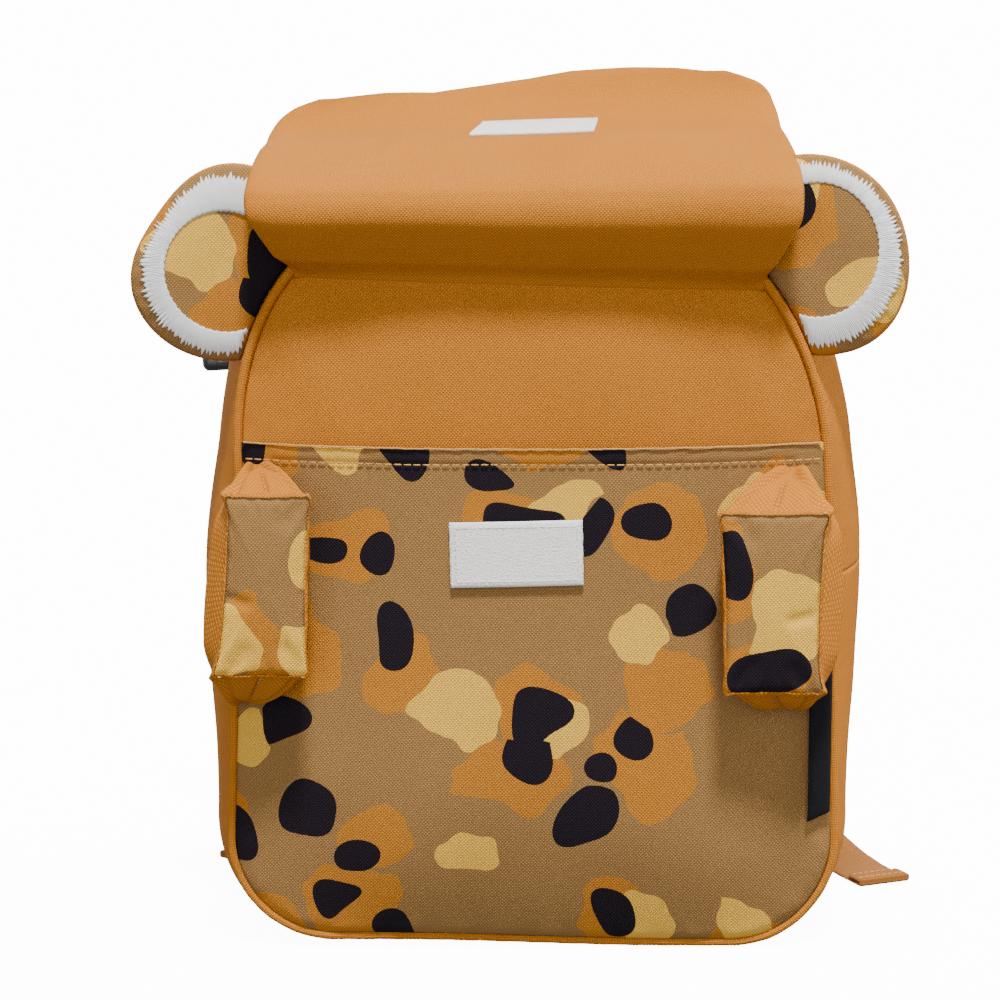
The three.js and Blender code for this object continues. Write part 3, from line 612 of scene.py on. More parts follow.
def pocketRelief(x, z, inward):
    stitch = pocket["hem"] - pocket["stitchDrop"]
    groove = 0.4 * hump((z - stitch) / 0.9)
    band = -0.35 * smoothstep(z, stitch, stitch + 2)
    ripple = 0.25 * wander(x / 9, 2.0) * smoothstep(z, stitch - 12, stitch)
    return puckers(x, z, inward, 0.4, 2.0) - folds(x, z, pocketFolds) + groove + band + ripple


def makePocket():
    shares = np.linspace(-hemShare, hemShare, 260)
    high = pocket["hem"] - (pocket["hem"] - lineLow) * 0.45
    piece = panelPiece("frontPocket", shares, high, pocketFace, pocketRelief, (31, 12), pocket["hem"])
    obj = piece.make([printed, mustard], ["front_pocket"], "printed_cloth")
    thicken(obj, pocket["thickness"])
    obj.modifiers["thickness"].material_offset = 1
    obj.modifiers["thickness"].material_offset_rim = 0
    return obj


makeFrontPanel()
makePocket()


# Piping: a cord in bias-cut cloth round each seam.
def makePiping(name, y, node):
    shares = np.linspace(-1, 1, 900, endpoint=False)
    x, z, nx, nz = seamAt(shares)
    turn = roundTurn(14)
    along = shares * halfLength
    radius = bag["piping"] * (1 + 0.05 * wander(along / 2.2, y)[:, None] * np.cos(turn + 1))
    out, deep = radius * np.cos(turn), radius * np.sin(turn)
    points = joined(x[:, None] + nx[:, None] * out, y + deep, z[:, None] + nz[:, None] * out)
    ends = np.linspace(-halfLength, halfLength, 901)[:, None]
    around = np.linspace(0, 4 * np.pi, 15)
    cloth = joined((ends + around) * 0.7, (ends - around) * 0.7)
    Piece(name).net(points, cloth, True, True).make([mustard], [node], "mustard_cloth")


makePiping("frontPiping", front, "front_piping")
makePiping("backPiping", back, "back_piping")

# Gusset and zip
gusset = {"along": (0, 0.17, 0.3, 0.54, 0.68, 0.8, 1), "out": (0.1, 0.1, 0.075, 0.135, 0.095, 0.105, 0.147),
          "power": 2.6, "leftIn": 0.026, "rightOut": 0.012, "upperAt": 0.7, "upperSpan": 0.12,
          "tuckedIn": 0.9, "zipEdge": 3.8, "sideGap": 0.15}


# How far the gusset stands out from the seam, by share of its outline.
def bulgeAt(share):
    along = np.abs(np.where(share > 1, share - 2, share))
    rows, outs = gusset["along"], gusset["out"]
    result = np.full(along.shape, float(outs[-1]))
    for k in range(len(rows) - 1):
        here = (along >= rows[k]) & (along <= rows[k + 1])
        result = np.where(here, lerp(outs[k], outs[k + 1], smoothstep(along, rows[k], rows[k + 1])), result)
    left = (np.asarray(share) < 0) | (np.asarray(share) > 1)
    near = hump((along - gusset["upperAt"]) / gusset["upperSpan"])
    return bag["depth"] * (result + near * np.where(left, -gusset["leftIn"], gusset["rightOut"]))


def gussetPoint(share, y, lift):
    x, z, nx, nz = seamAt(share)
    out = bulgeAt(share) * clamp(1 - np.abs(y / gussetHalf) ** gusset["power"]) + lift
    return joined(x + nx * out, y + 0 * x, np.maximum(z + nz * out, 0))


def gussetBand(name, node, shares, depths):
    share, y = np.meshgrid(shares, depths, indexing="ij")
    along = share * halfLength
    edge = hump((gussetHalf - np.abs(y)) / 5)
    soft = 0.5 * wander(along / 24, 3.0) * np.cos(y / 30) + 0.35 * wander(along / 3.4, 4.0) * edge
    lift = bag["cloth"] / 2 + np.where(np.abs(y) > gussetHalf - 0.1, 0, soft)
    points = gussetPoint(share, y, lift)
    cloth = joined(y + 140, along)
    piece = Piece(name).net(points, cloth)
    return thicken(piece.make([mustard], [node], "mustard_cloth"), panels["thickness"])


def makeGusset():
    wide, zipEdge = gussetHalf + gusset["tuckedIn"], gusset["zipEdge"]
    gap = gusset["sideGap"] / halfLength
    gussetBand("lowerGusset", "lower_gusset", np.linspace(-sideShare, sideShare, 220), np.linspace(-wide, wide, 50))
    upper = np.linspace(sideShare + gap, 2 - sideShare - gap, 360)
    gussetBand("upperGussetFront", "upper_gusset_front", upper, np.linspace(-wide, -zipEdge, 26))
    gussetBand("upperGussetBack", "upper_gusset_back", upper, np.linspace(zipEdge, wide, 26))


makeGusset()
print("body made")


# Stitches and small curves
def smoothCurve(points, count):
    points = np.asarray(points, float)
    ends = np.vstack([2 * points[0] - points[1], points, 2 * points[-1] - points[-2]])
    gaps = np.maximum(np.linalg.norm(np.diff(ends, axis=0), axis=1) ** 0.5, 1e-6)
    dense = []
    for k in range(len(points) - 1):
        a, b, c, d = ends[k:k + 4]
        g0, g1, g2 = gaps[k:k + 3]
        startPull = ((b - a) / g0 - (c - a) / (g0 + g1) + (c - b) / g1) * g1
        endPull = ((c - b) / g1 - (d - b) / (g1 + g2) + (d - c) / g2) * g1
        t = np.linspace(0, 1, 60, endpoint=False)[:, None]
        dense.append(b + startPull * t + (-3 * b + 3 * c - 2 * startPull - endPull) * t ** 2
                     + (2 * b - 2 * c + startPull + endPull) * t ** 3)
    dense = np.vstack(dense + [points[-1:]])
    length = np.concatenate([[0], np.cumsum(np.linalg.norm(np.diff(dense, axis=0), axis=1))])
    at = np.linspace(0, length[-1], count)
    return np.stack([np.interp(at, length, dense[:, k]) for k in range(3)], -1), length[-1]


# The same directions with length 1.
def unit(vectors):
    return vectors / np.maximum(np.linalg.norm(vectors, axis=-1, keepdims=True), 1e-9)


# For each kind of stitching: a stitch's length, the gap, the thread's radius, its lift and its sideways swing.
stitchKinds = {"strip": (2.4, 0.6, 0.22, 0.02, 0), "hem": (3.1, 0.7, 0.3, 0, 0),
               "pawSide": (2.0, 2.2, 0.16, 0.05, 0.5), "pawEnd": (1.7, 0.8, 0.2, 0.05, 0.5),
               "pawCorner": (1.5, 0.5, 0.2, 0.2, 0), "strap": (2.8, 0.8, 0.25, 0, 0),
               "anchor": (2.4, 0.6, 0.25, 0, 0), "tail": (2.2, 0.6, 0.26, 0, 0),
               "sideSeam": (2.6, 1.0, 0.17, -0.05, 0)}


# A row of stitches along points; each is a short bowed thread whose ends dip into the cloth.
def addStitches(piece, points, normals, kind):
    stitch, gap, radius, lift, swing = stitchKinds[kind]
    points, normals = np.asarray(points, float), unit(np.asarray(normals, float))
    length = np.concatenate([[0], np.cumsum(np.linalg.norm(np.diff(points, axis=0), axis=1))])
    count = max(int(length[-1] / (stitch + gap)), 1)
    steps = np.array([0, 0.12, 0.5, 0.88, 1.0])
    sink = np.array([-0.5, 0.1, 0.35, 0.1, -0.5])
    size = np.array([0.35, 0.9, 1, 0.9, 0.35])
    turn = roundTurn(6)
    for k in range(count):
        at = (k + 0.5) * length[-1] / count + (steps - 0.5) * stitch
        place = lambda rows: np.stack([np.interp(at, length, rows[:, j]) for j in range(3)], -1)
        middle, normal = place(points), unit(place(normals))
        along = unit(middle[-1:] - middle[:1])
        side = unit(np.cross(along, normal))
        middle = middle + normal * (lift + radius * sink[:, None]) + side * (steps[:, None] - 0.5) * swing
        ring = side[:, None] * np.cos(turn)[None, :, None] + normal[:, None] * np.sin(turn)[None, :, None]
        net = middle[:, None] + ring * (radius * size)[:, None, None]
        around = np.linspace(0, 2 * np.pi * radius, 7)
        cloth = joined(at[:, None], around[None] + k * 1.7)
        piece.net(net, cloth, wrapCols=True)
    return piece


# A thin patch on a curved face, in its own directions across and up; corners follow the outline.
def facePatch(name, xs, zs, face, lift, thickness):
    inside = joined(xs, face(xs, zs) - lift, zs)
    rows, cols = xs.shape
    edge = np.minimum(np.minimum(np.arange(rows)[:, None], rows - 1 - np.arange(rows)[:, None]),
                      np.minimum(np.arange(cols)[None], cols - 1 - np.arange(cols)[None]))
    high = thickness * (0.55 + 0.45 * np.minimum(edge / 2, 1))
    outside = inside.copy()
    outside[..., 1] -= high
    return Piece(name).layers(outside, inside, joined(xs, zs))


# A turned rectangle's own grid of places across and up.
def turned(width, height, degrees, middle, rows, cols):
    across, up = np.meshgrid(np.linspace(-0.5, 0.5, cols) * width, np.linspace(-0.5, 0.5, rows) * height)
    turn = math.radians(degrees)
    return (middle[0] + across * math.cos(turn) - up * math.sin(turn),
            middle[1] + across * math.sin(turn) + up * math.cos(turn))


# The same direction, towards the viewer, at each of a row of points.
def facingFront(count):
    return np.tile([0, -1, 0], (count, 1))


def pocketSurface(x, z):
    return pocketFace(x, z) + pocketRelief(x, z, np.ones_like(x)) - pocket["thickness"]


# A rectangle's outline on a face, as a closed run of points.
def boxPath(width, height, degrees, middle, face):
    w, h, count = width / 2, height / 2, 60
    corners = np.array([(-w, -h), (w, -h), (w, h), (-w, h), (-w, -h)])
    sides = [np.linspace(corners[k], corners[k + 1], count, endpoint=False) for k in range(4)]
    line = np.vstack(sides + [corners[-1:]])
    turn = math.radians(degrees)
    x = middle[0] + line[:, 0] * math.cos(turn) - line[:, 1] * math.sin(turn)
    z = middle[1] + line[:, 0] * math.sin(turn) + line[:, 1] * math.cos(turn)
    return joined(x, face(x, z), z)


def makePocketStrip():
    middle = (pocket["stripX"], pocket["stripZ"])
    xs, zs = turned(pocket["stripWidth"], pocket["stripHeight"], pocket["stripTurn"], middle, 34, 66)
    rough = 0.25 * wander(xs / 1.7 + zs, 5.0)
    edge = np.zeros_like(xs)
    edge[[0, -1]] = 1
    edge[:, [0, -1]] = 1
    xs = xs + rough * edge * 0.5
    piece = facePatch("pocketStrip", xs, zs, pocketSurface, 0.05, pocket["stripThickness"])
    piece.make([fastener], ["pocket_strip"], "loop_fastener")
    inset = 2.3
    sewn = Piece("pocketStripStitches")
    path = boxPath(pocket["stripWidth"] - 2 * inset, pocket["stripHeight"] - 2 * inset, pocket["stripTurn"], middle,
                   lambda x, z: pocketSurface(x, z) - pocket["stripThickness"] - 0.02)
    addStitches(sewn, path, facingFront(len(path)), "strip")
    sewn.make([whiteThread], slot="white_thread")


def makeHemStitches():
    z = pocket["hem"] - pocket["stitchDrop"]
    half = float(seamHalf(z)) - panels["edge"] - 1.2
    x = np.linspace(-half, half, 400)
    level = z + 0.25 * wander(x / 30, 1.0)
    path = joined(x, pocketSurface(x, level) + 0.25, level)
    piece = addStitches(Piece("hemStitches"), path, facingFront(len(x)), "hem")
    piece.make([thread], slot="white_thread")
    turn = roundTurn(8)
    x = np.linspace(-seamHalf(pocket["hem"]) + 2.4, seamHalf(pocket["hem"]) - 2.4, 500)
    middle = pocketSurface(x, np.full_like(x, pocket["hem"])) + 1.1
    edge = joined(x[:, None] + 0 * turn, middle[:, None] + 0.7 * np.cos(turn),
                     pocket["hem"] + 0.1 + 0.35 * np.sin(turn) + 0.1 * wander(x / 2.3, 4.0)[:, None])
    flat = joined(x[:, None], np.linspace(0, 4, 9)[None])
    Piece("hemEdge").net(edge, flat, wrapCols=True).make([thread], slot="printed_cloth")


# The woven tab: a folded black loop caught in the side seam, cut slantwise at its foot, and bare.
tab = {"top": 113, "length": 55, "width": 9.4, "slant": 3.2, "thickness": 0.9}


def makeTab():
    rows, cols = 60, 12
    up = np.linspace(0, 1, rows)[:, None]
    across = np.linspace(0, 1, cols)[None]
    outer = seamHalf(tab["top"] - tab["length"]) - panels["edge"] - 0.6
    xs = outer - tab["width"] * (1 - across) + 0 * up
    low = tab["top"] - tab["length"] - tab["slant"] * (1 - across) + 1.5
    zs = lerp(low, tab["top"] + 12 + 0 * across, up)
    lifted = lambda x, z: pocketSurface(x, z) - 0.5 - 0.9 * (1 - across) - 0.5 * np.sin(up * 9) * (1 - across)
    piece = facePatch("sideTab", xs, zs, lifted, 0.1, tab["thickness"])
    piece.make([tabWeave], ["side_label"], "woven_label")


makePocketStrip()
makeHemStitches()
makeTab()

# Flap, hinged at the front and lying back over the top
flap = {"hingeDrop": 30.5, "half": 107.5, "thickness": 7, "hinge": 2, "stripX": 4, "stripWidth": 51,
        "out": (-0.55, -0.597, -0.645, -0.688, -0.682, -0.632, -0.462, -0.258, -0.032, 0.09, 0.155, 0.2),
        "rise": (-1, -0.83, -0.68, -0.52, -0.36, -0.24, -0.1, 0.01, 0.06, 0.18, 0.29, 0.385),
        "halves": (0.87, 0.915, 0.957, 0.995, 1.003, 1.003, 1, 0.99, 0.985, 0.975, 0.925, 0.79),
        "tilt": (-0.028, -0.022, -0.014, -0.004, 0.006, 0.012, 0.02, 0.025, 0.035, 0.05, 0.065, 0.075),
        "sag": (0, 0, 0, 0, 0, 0, 0.008, 0.02, 0.03, 0.05, 0.06, 0.065), "stripLow": 7.02, "stripHigh": 7.98,
        "freeEdge": ((-95, 3), (-88, 2), (-78, 0.8), (-58, 0), (-47, -1.2), (-37, -2.5), (-17, -1.7), (3, -0.4),
                     (20, 1.6), (45, 2.2), (64, 1.7), (76, 0.6), (85, 0.8), (95, 2), (103, 4)),
        "rows": 130, "cols": 170, "rim": 9, "rimThickness": 2.6}
hingeHeight = seamTop - flap["hingeDrop"]
crest = seamTop + float(bulgeAt(np.array(1.0))) + bag["clear"] + flap["thickness"]
flapDrop = crest - hingeHeight


# Smooth curves through each column of the flap's table.
def flapRow(at):
    table = np.stack([flap[key] for key in ("out", "rise", "halves", "tilt", "sag")], -1)
    spots = np.arange(len(table))
    k = np.clip(np.floor(at).astype(int), 0, len(table) - 2)
    t = (at - k)[:, None]
    slope = np.gradient(table, spots, axis=0)
    a, b, c, d = table[k], table[k + 1], slope[k], slope[k + 1]
    return (a + c * t + (3 * (b - a) - 2 * c - d) * t ** 2 + (2 * (a - b) + c + d) * t ** 3).T


def hingeHalf(side):
    end = hingeHeight + flap["tilt"][0] * side * seamHalf(hingeHeight)
    return seamHalf(end + flap["hinge"]) - seamInset - 3 * bag["clear"] + 1.5


def flapSkin(at, share):
    out, rise, half, tilt, sag = [row[:, None] for row in flapRow(at)]
    share = np.broadcast_to(share, (len(at), share.shape[-1]))
    near = 1 - smoothstep(at, 0, 1)[:, None]
    width = lerp(half * flap["half"], hingeHalf(np.sign(share)), near)
    x = share * width
    z = crest + rise * flapDrop + tilt * x - sag * flap["half"] * (x / flap["half"]) ** 2
    last = len(flap["out"]) - 1
    z = z + np.interp(x, *zip(*flap["freeEdge"])) * smoothstep(at, last - 2.5, last)[:, None]
    y = lerp(out * bag["depth"] + 0 * x, panelFace(x, z) - bag["clear"] - 1.2, near)
    return joined(x, y, z)


# The facing direction at each point of a net.
def outward(net):
    across, along = np.gradient(net, axis=1), np.gradient(net, axis=0)
    return unit(np.cross(along, across))


# How deep the skin sinks towards its rims, where the two layers are sewn together.
def rimShare(net):
    x = net[..., 0]
    toSide = np.minimum(np.abs(x - x[:, :1]), np.abs(x - x[:, -1:]))
    along = np.linalg.norm(np.diff(net, axis=0), axis=-1)
    toEnd = np.vstack([np.cumsum(along[::-1], axis=0)[::-1], np.zeros((1, x.shape[1]))])
    toHinge = np.vstack([np.zeros((1, x.shape[1])), np.cumsum(along, axis=0)])
    return np.minimum(np.minimum(toSide, toEnd) / flap["rim"], toHinge / (flap["rim"] * 0.8)), toSide


flapFolds = [(-40, 62, 12, 84, 16, -1.6), (10, 60, 34, 96, 8, 1.1), (22, 58, 50, 88, 9, -1.0),
             (-95, 20, -60, 46, 14, 0.8), (60, 40, 98, 58, 12, 0.9), (-20, 28, 30, 20, 14, 0.7),
             (-80, 78, -52, 96, 9, -0.9), (-55, 84, -38, 112, 6, 1.3), (30, 104, 66, 96, 10, 0.8)]


def flapSurface():
    at = np.linspace(0, len(flap["out"]) - 1, flap["rows"])
    share = np.linspace(-1, 1, flap["cols"])
    share = (np.sign(share) * (1 - (1 - np.abs(share)) ** 1.25))[None]
    return flapSkin(at, share)


def makeFlap():
    skin = flapSurface()
    normal = outward(skin)
    middle = (flap["rows"] // 2, flap["cols"] // 2)
    if normal[middle][2] < 0:
        normal = -normal
    rim, toSide = rimShare(skin)
    x = skin[..., 0]
    steps = np.linalg.norm(np.diff(skin, axis=0), axis=-1)
    along = np.vstack([np.zeros((1, x.shape[1])), np.cumsum(steps, axis=0)])
    dome = np.sqrt(clamp(1 - (1 - clamp(rim)) ** 2))
    half = (flap["thickness"] - flap["rimThickness"]) / 2
    relief = folds(x, along, flapFolds) + 0.35 * wander(along / 5 + x / 31, 2.0) * hump(toSide / 10)
    under = skin - normal * (half * (1 - dome))[..., None] + normal * (relief * np.minimum(rim, 1))[..., None]
    over = skin - normal * (flap["thickness"] - half * (1 - dome) - 0.3 * relief)[..., None]
    over[0] = under[0] - normal[0] * flap["rimThickness"]
    cloth = joined(x, along)
    piece = Piece("flapPad").net(under, cloth).net(over, cloth * [-1, 1] + [260, 40], look=1)
    for ring in netEdges:
        strip = lerp(under[ring][None], over[ring][None], np.linspace(0, 1, 4)[:, None, None])
        bulge = np.array([0, 0.5, 0.5, 0])[:, None, None]
        push = unit(under[ring] - skin[middle])[None] * [1, 0.2, 0.6]
        piece.net(strip + push * bulge, np.stack([cloth[ring] + k for k in range(4)]))
    piece.make([mustard, printed], ["flap"], "mustard_cloth", padded=0.55)
    return under, normal


flapUnder, flapNormal = makeFlap()


# Points on the flap's bare side, by distance across and rows up.
def onFlap(x, row):
    x, row = np.broadcast_arrays(np.asarray(x, float), np.asarray(row, float))
    at = row / (len(flap["out"]) - 1) * (flap["rows"] - 1)
    low = np.clip(np.floor(at).astype(int), 0, flap["rows"] - 2)
    def spot(r, values):
        cols = flapUnder[r, :, 0]
        return np.array([np.interp(x[i], cols[i], values[r[i], :]) for i in range(len(x))])
    points, normals = [], []
    for k in range(3):
        points.append(lerp(spot(low, flapUnder[..., k]), spot(low + 1, flapUnder[..., k]), at - low))
        normals.append(lerp(spot(low, flapNormal[..., k]), spot(low + 1, flapNormal[..., k]), at - low))
    return np.stack(points, -1), unit(np.stack(normals, -1))


def makeFlapStrip():
    cols, rows, lean, raised = 150, 14, 5, 1.3
    jag = 0.035 * np.abs(np.sin(np.arange(cols) * 0.84)) + 0.012 * wander(np.arange(cols) * 1.9, 3.0)
    low, high = flap["stripLow"], flap["stripHigh"]
    net, normals = np.zeros((rows, cols, 3)), np.zeros((rows, cols, 3))
    for i in range(rows):
        up = i / (rows - 1)
        left = flap["stripX"] - flap["stripWidth"] / 2 + lean * up
        right = flap["stripX"] + flap["stripWidth"] / 2 - 1.2 + 2.4 * up
        x = np.linspace(left, right, cols)
        net[i], normals[i] = onFlap(x, low + (high - low) * up + jag * up * 2)
    xs = net[..., 0]
    cloth = joined(xs, np.arange(rows)[:, None] * 2.0)
    Piece("flapStrip").layers(net + normals * raised, net, cloth).make([fastener], ["flap_strip"], "hook_fastener")


makeFlapStrip()
print("flap made")


# Ears, with an embroidered ring
ears = {"radius": 38.5, "thickness": 12, "edge": 2.6, "drop": 20, "out": 27.5, "lean": 0.55,
        "turns": 220, "rings": 46, "flapLimit": 311.5,
        "pucker": 0.45, "puckerWidth": 0.13, "hollow": (96, 300, 140, 262, 14, 0.8), "backShift": 170,
        "rimBulge": 0.9, "spikes": 1.9, "spikeLength": 3.6, "threadLift": 0.75, "shares": 12, "around": 1500}
earRows = [
    {"name": "Left", "side": -1, "shift": 1.3, "rise": -1.5, "dent": 0.17, "jowl": 0.05,
     "band": (14, 9.2, 9.6), "ring": (-118.0, 278.9, 23.6, 23.9), "cloth": (131, -171), "seed": 3},
    {"name": "Right", "side": 1, "shift": -1.3, "rise": 1.5, "dent": 0, "jowl": 0.11,
     "band": (10.8, 10, 12), "ring": (115.2, 287.5, 24.6, 26.5), "cloth": (-20, -320), "seed": 8},
]


# How far a point lies outside the seam; less than 0 is inside.
def outsideSeam(x, z):
    xs, zs, nx, nz = seamAt(np.linspace(0, 1, 400))
    gap = np.hypot(x[..., None] - xs, z[..., None] - zs)
    near = np.argmin(gap, -1)
    sign = np.sign((x - xs[near]) * nx[near] + (z - zs[near]) * nz[near])
    return sign * np.take_along_axis(gap, near[..., None], -1)[..., 0]


def earShape(row):
    z = seamTop - ears["drop"] + row["rise"]
    centre = np.array([float(seamHalf(z)) + ears["out"] + row["shift"], z])
    turn = roundTurn(ears["turns"])
    near = lambda middle: np.maximum(0, np.cos(turn - middle)) ** 4
    full = ears["radius"] * (1 - row["dent"] * near(np.pi / 5) + row["jowl"] * near(-np.pi / 4))
    tries = np.linspace(0.3, 1, 200)[:, None] * full
    outside = outsideSeam(centre[0] + tries * np.cos(turn), centre[1] + tries * np.sin(turn)) > 2.4
    reach = np.array([tries[outside[:, j], j].max() for j in range(len(turn))])
    for _ in range(3):
        reach = np.where(reach < full - 0.2, (np.roll(reach, 1) + reach + np.roll(reach, -1)) / 3, reach)
    return centre, turn, reach


def earThickness(share):
    return lerp(ears["edge"], ears["thickness"], np.sqrt(clamp(1 - share ** 2.2)))


def earFace(share):
    return front + seamInset - (earThickness(share) - ears["edge"]) * ears["lean"]


# The ear's part under the flap stays below it.
def underFlap(points):
    x, z = np.abs(points[..., 0]), points[..., 2]
    limit = ears["flapLimit"] + 0.025 * points[..., 0]
    points[..., 2] = lerp(z, np.minimum(z, limit), smoothstep(flap["half"] - 1 - x, 0, 5))
    return points


def makeEar(row):
    centre, turn, reach = earShape(row)
    share = np.sin(np.linspace(0, np.pi / 2, ears["rings"]))[:, None]
    x = row["side"] * (centre[0] + share * reach * np.cos(turn))
    z = centre[1] + share * reach * np.sin(turn)
    along = turn * ears["radius"]
    pucker = ears["pucker"] * wander(along / 2.1, row["seed"], 1, 1.7, 2.6)
    pucker = pucker * hump((1 - share) / ears["puckerWidth"]) * (1 - share ** 40)
    hollow = folds(row["side"] * x, z, [ears["hollow"]])
    faceY = earFace(share) + pucker + hollow * (1 - share ** 6)
    backY = earFace(share) + earThickness(share) - pucker
    rim = np.abs(wander(along / 1.3, row["seed"]))[None] * 0.3 * share ** 30
    piece = Piece("ear" + row["name"])
    for depth, shift in ((faceY, 0), (backY, ears["backShift"])):
        points = underFlap(joined(x + rim * np.cos(turn) * row["side"], depth + 0 * x, z + rim * np.sin(turn)))
        cloth = joined(x + row["cloth"][0] + shift, z + row["cloth"][1])
        piece.net(points, np.hstack([cloth, cloth[:, :1]]), wrapCols=True)
    edge = underFlap(np.stack([joined(x[-1], faceY[-1], z[-1]), joined(x[-1], backY[-1], z[-1])]))
    middle = edge.mean(0, keepdims=True)
    middle[..., 0] += row["side"] * ears["rimBulge"] * np.cos(turn)
    middle[..., 2] += ears["rimBulge"] * np.sin(turn)
    rimNet = np.concatenate([edge[:1], middle, edge[1:]])
    flat = joined(np.append(along, 2 * np.pi * ears["radius"])[None], np.arange(3)[:, None] * 1.3)
    piece.net(rimNet, flat, wrapCols=True, look=1)
    piece.make([printed, mustard], ["ear_" + row["name"].lower()], "printed_cloth", padded=0.7)
    makeRing(row, centre, turn, reach)


# White satin stitches: a smooth inner edge, and an outer edge that ends in uneven points like fur.
def makeRing(row, centre, turn, reach):
    random = np.random.default_rng(row["seed"])
    count = ears["around"]
    fine = np.linspace(0, 2 * np.pi, count)
    outer = np.interp(fine, np.append(turn, 2 * np.pi), np.append(reach, reach[0]))
    ringX, ringZ, radiusX, radiusZ = row["ring"]
    offX, offZ = row["side"] * ringX - centre[0], ringZ - centre[1]
    c, s = np.cos(fine), np.sin(fine)
    a = (c / radiusX) ** 2 + (s / radiusZ) ** 2
    b = -2 * (c * offX / radiusX ** 2 + s * offZ / radiusZ ** 2)
    d = (offX / radiusX) ** 2 + (offZ / radiusZ) ** 2 - 1
    inner = (-b + np.sqrt(np.maximum(b * b - 4 * a * d, 0))) / (2 * a)
    pitch = ears["spikes"] / ears["radius"]
    tips = np.cumsum(random.uniform(0.6, 1.4, 400)) * pitch
    heights = random.uniform(0.35, 1, 400) * ears["spikeLength"]
    knots = np.ravel(np.column_stack([tips, tips + pitch * 0.42]))
    values = np.ravel(np.column_stack([heights, random.uniform(0, 0.35, 400)]))
    spike = np.interp(fine, knots, values)
    inner = inner + 0.25 * wander(fine * 60, 1.0)
    high, level, low = row["band"]
    across = np.where(s > 0, lerp(level, high, s ** 2), lerp(level, low, s ** 2))
    edge = np.minimum(outer - ears["spikeLength"] - 0.4, inner + across - 1.6) + spike
    x = lambda radius: row["side"] * (centre[0] + radius * c)
    z = lambda radius: centre[1] + radius * s
    clear = (np.abs(x(edge)) > flap["half"] - 5) | (z(edge) < seamTop - ears["drop"] - 5)
    use = np.flatnonzero(clear & (edge > inner + 1.5))
    gap = np.argmax(np.diff(np.append(use, use[0] + count))) if len(use) < count - 2 else len(use) - 1
    order = np.roll(use, -int(gap) - 1)
    shares = np.linspace(0, 1, ears["shares"])[:, None]
    radius = lerp(inner[order], edge[order], shares)
    lift = ears["threadLift"] * clamp(np.sin(np.pi * np.clip(shares, 0.04, 0.9)) ** 0.45) + 0.12
    ridge = 0.1 * np.sin(fine[order] * ears["radius"] * 2 * np.pi / 0.9)[None] * np.sin(np.pi * shares)
    face = earFace(radius / outer[order])
    spot = lambda height: joined(row["side"] * (centre[0] + radius * c[order]), face - height,
                                 centre[1] + radius * s[order])
    cloth = joined(radius, fine[order] * ears["radius"] + 0 * radius)
    piece = Piece("earRing" + row["name"]).layers(spot(lift + ridge), spot(0 * lift - 0.3), cloth)
    piece.make([whiteThread], ["ear_embroidery_" + row["name"].lower()], "white_thread")


for earRow in earRows:
    makeEar(earRow)
print("ears made")

# Paws: stuffed arms with a printed face, their ends folded like a wrapped parcel's
paw = {"width": 36, "height": 74, "reach": 31, "x": 99, "z": 153,
       "forward": (-0.2, 0.2, 0.6, 1), "inner": (0.05, -0.12, -0.4, -0.5), "outer": (0.5, 0.6, 0.66, 0.52),
       "low": (-0.66, -0.63, -0.57, -0.5), "high": (0.66, 0.64, 0.56, 0.5), "puff": (0, 0.03, 0.05, -0.015),
       "round": (7, 7, 9, 16), "tuck": (0.42, 0.42, 0.26, 0), "around": 260, "steps": 50, "seam": 1.6, "tip": 3.0,
       "foldDepth": 2.4, "swell": 1.7, "ripple": 0.5, "pucker": 0.25, "puckerWidth": 0.14, "drawIn": 0.9,
       "pinch": 3.6, "cloth": 28.0, "dome": 2.6, "faceOut": 0.8, "faceRings": 40, "facePucker": 0.35}
pawRows = [
    {"name": "Left", "side": -1, "shift": 6, "rise": 6, "width": 0.92, "slant": 0.055,
     "taper": -0.12, "cloth": (240, 60), "seed": 2},
    {"name": "Right", "side": 1, "shift": -6, "rise": -1, "width": 1.08, "slant": -0.01,
     "taper": 0.1, "cloth": (-220, 130), "seed": 5},
]


def pawSpot(row, forward, a, b):
    at = lambda key: np.interp(forward, paw["forward"], paw[key])
    narrow = 1 - at("tuck") * smoothstep(np.abs(b), 0.5, 1)
    wide = lerp(at("inner"), at("outer"), (a * narrow + 1) / 2) + at("puff") * a * clamp(1 - b ** 2)
    upPuff = at("puff") * paw["width"] / paw["height"]
    up = lerp(at("low"), at("high"), (b + 1) / 2) + upPuff * b * clamp(1 - a ** 2)
    x = row["side"] * (paw["x"] + row["shift"] + wide * paw["width"] * row["width"] * (1 + row["taper"] * up))
    x = x + row["slant"] * paw["height"] * up
    y = front - seamInset - forward * paw["reach"]
    return joined(x, y + 0 * x, paw["z"] + row["rise"] * forward + up * paw["height"])


# Shares round a paw's outline, from -1 to 1 across and up, with its corners rounded less towards the face.
def pawOutline(forward):
    t = np.linspace(0, 4, paw["around"], endpoint=False)
    k, s = np.floor(t).astype(int), (t % 1) * 2 - 1
    a = np.choose(k, [s, 1 + 0 * s, -s, -1 + 0 * s])
    b = np.choose(k, [-1 + 0 * s, s, 1 + 0 * s, -s])
    power = np.interp(forward, paw["forward"], paw["round"])
    size = (np.abs(a) ** power + np.abs(b) ** power) ** (-1 / power)
    return t, a * size, b * size


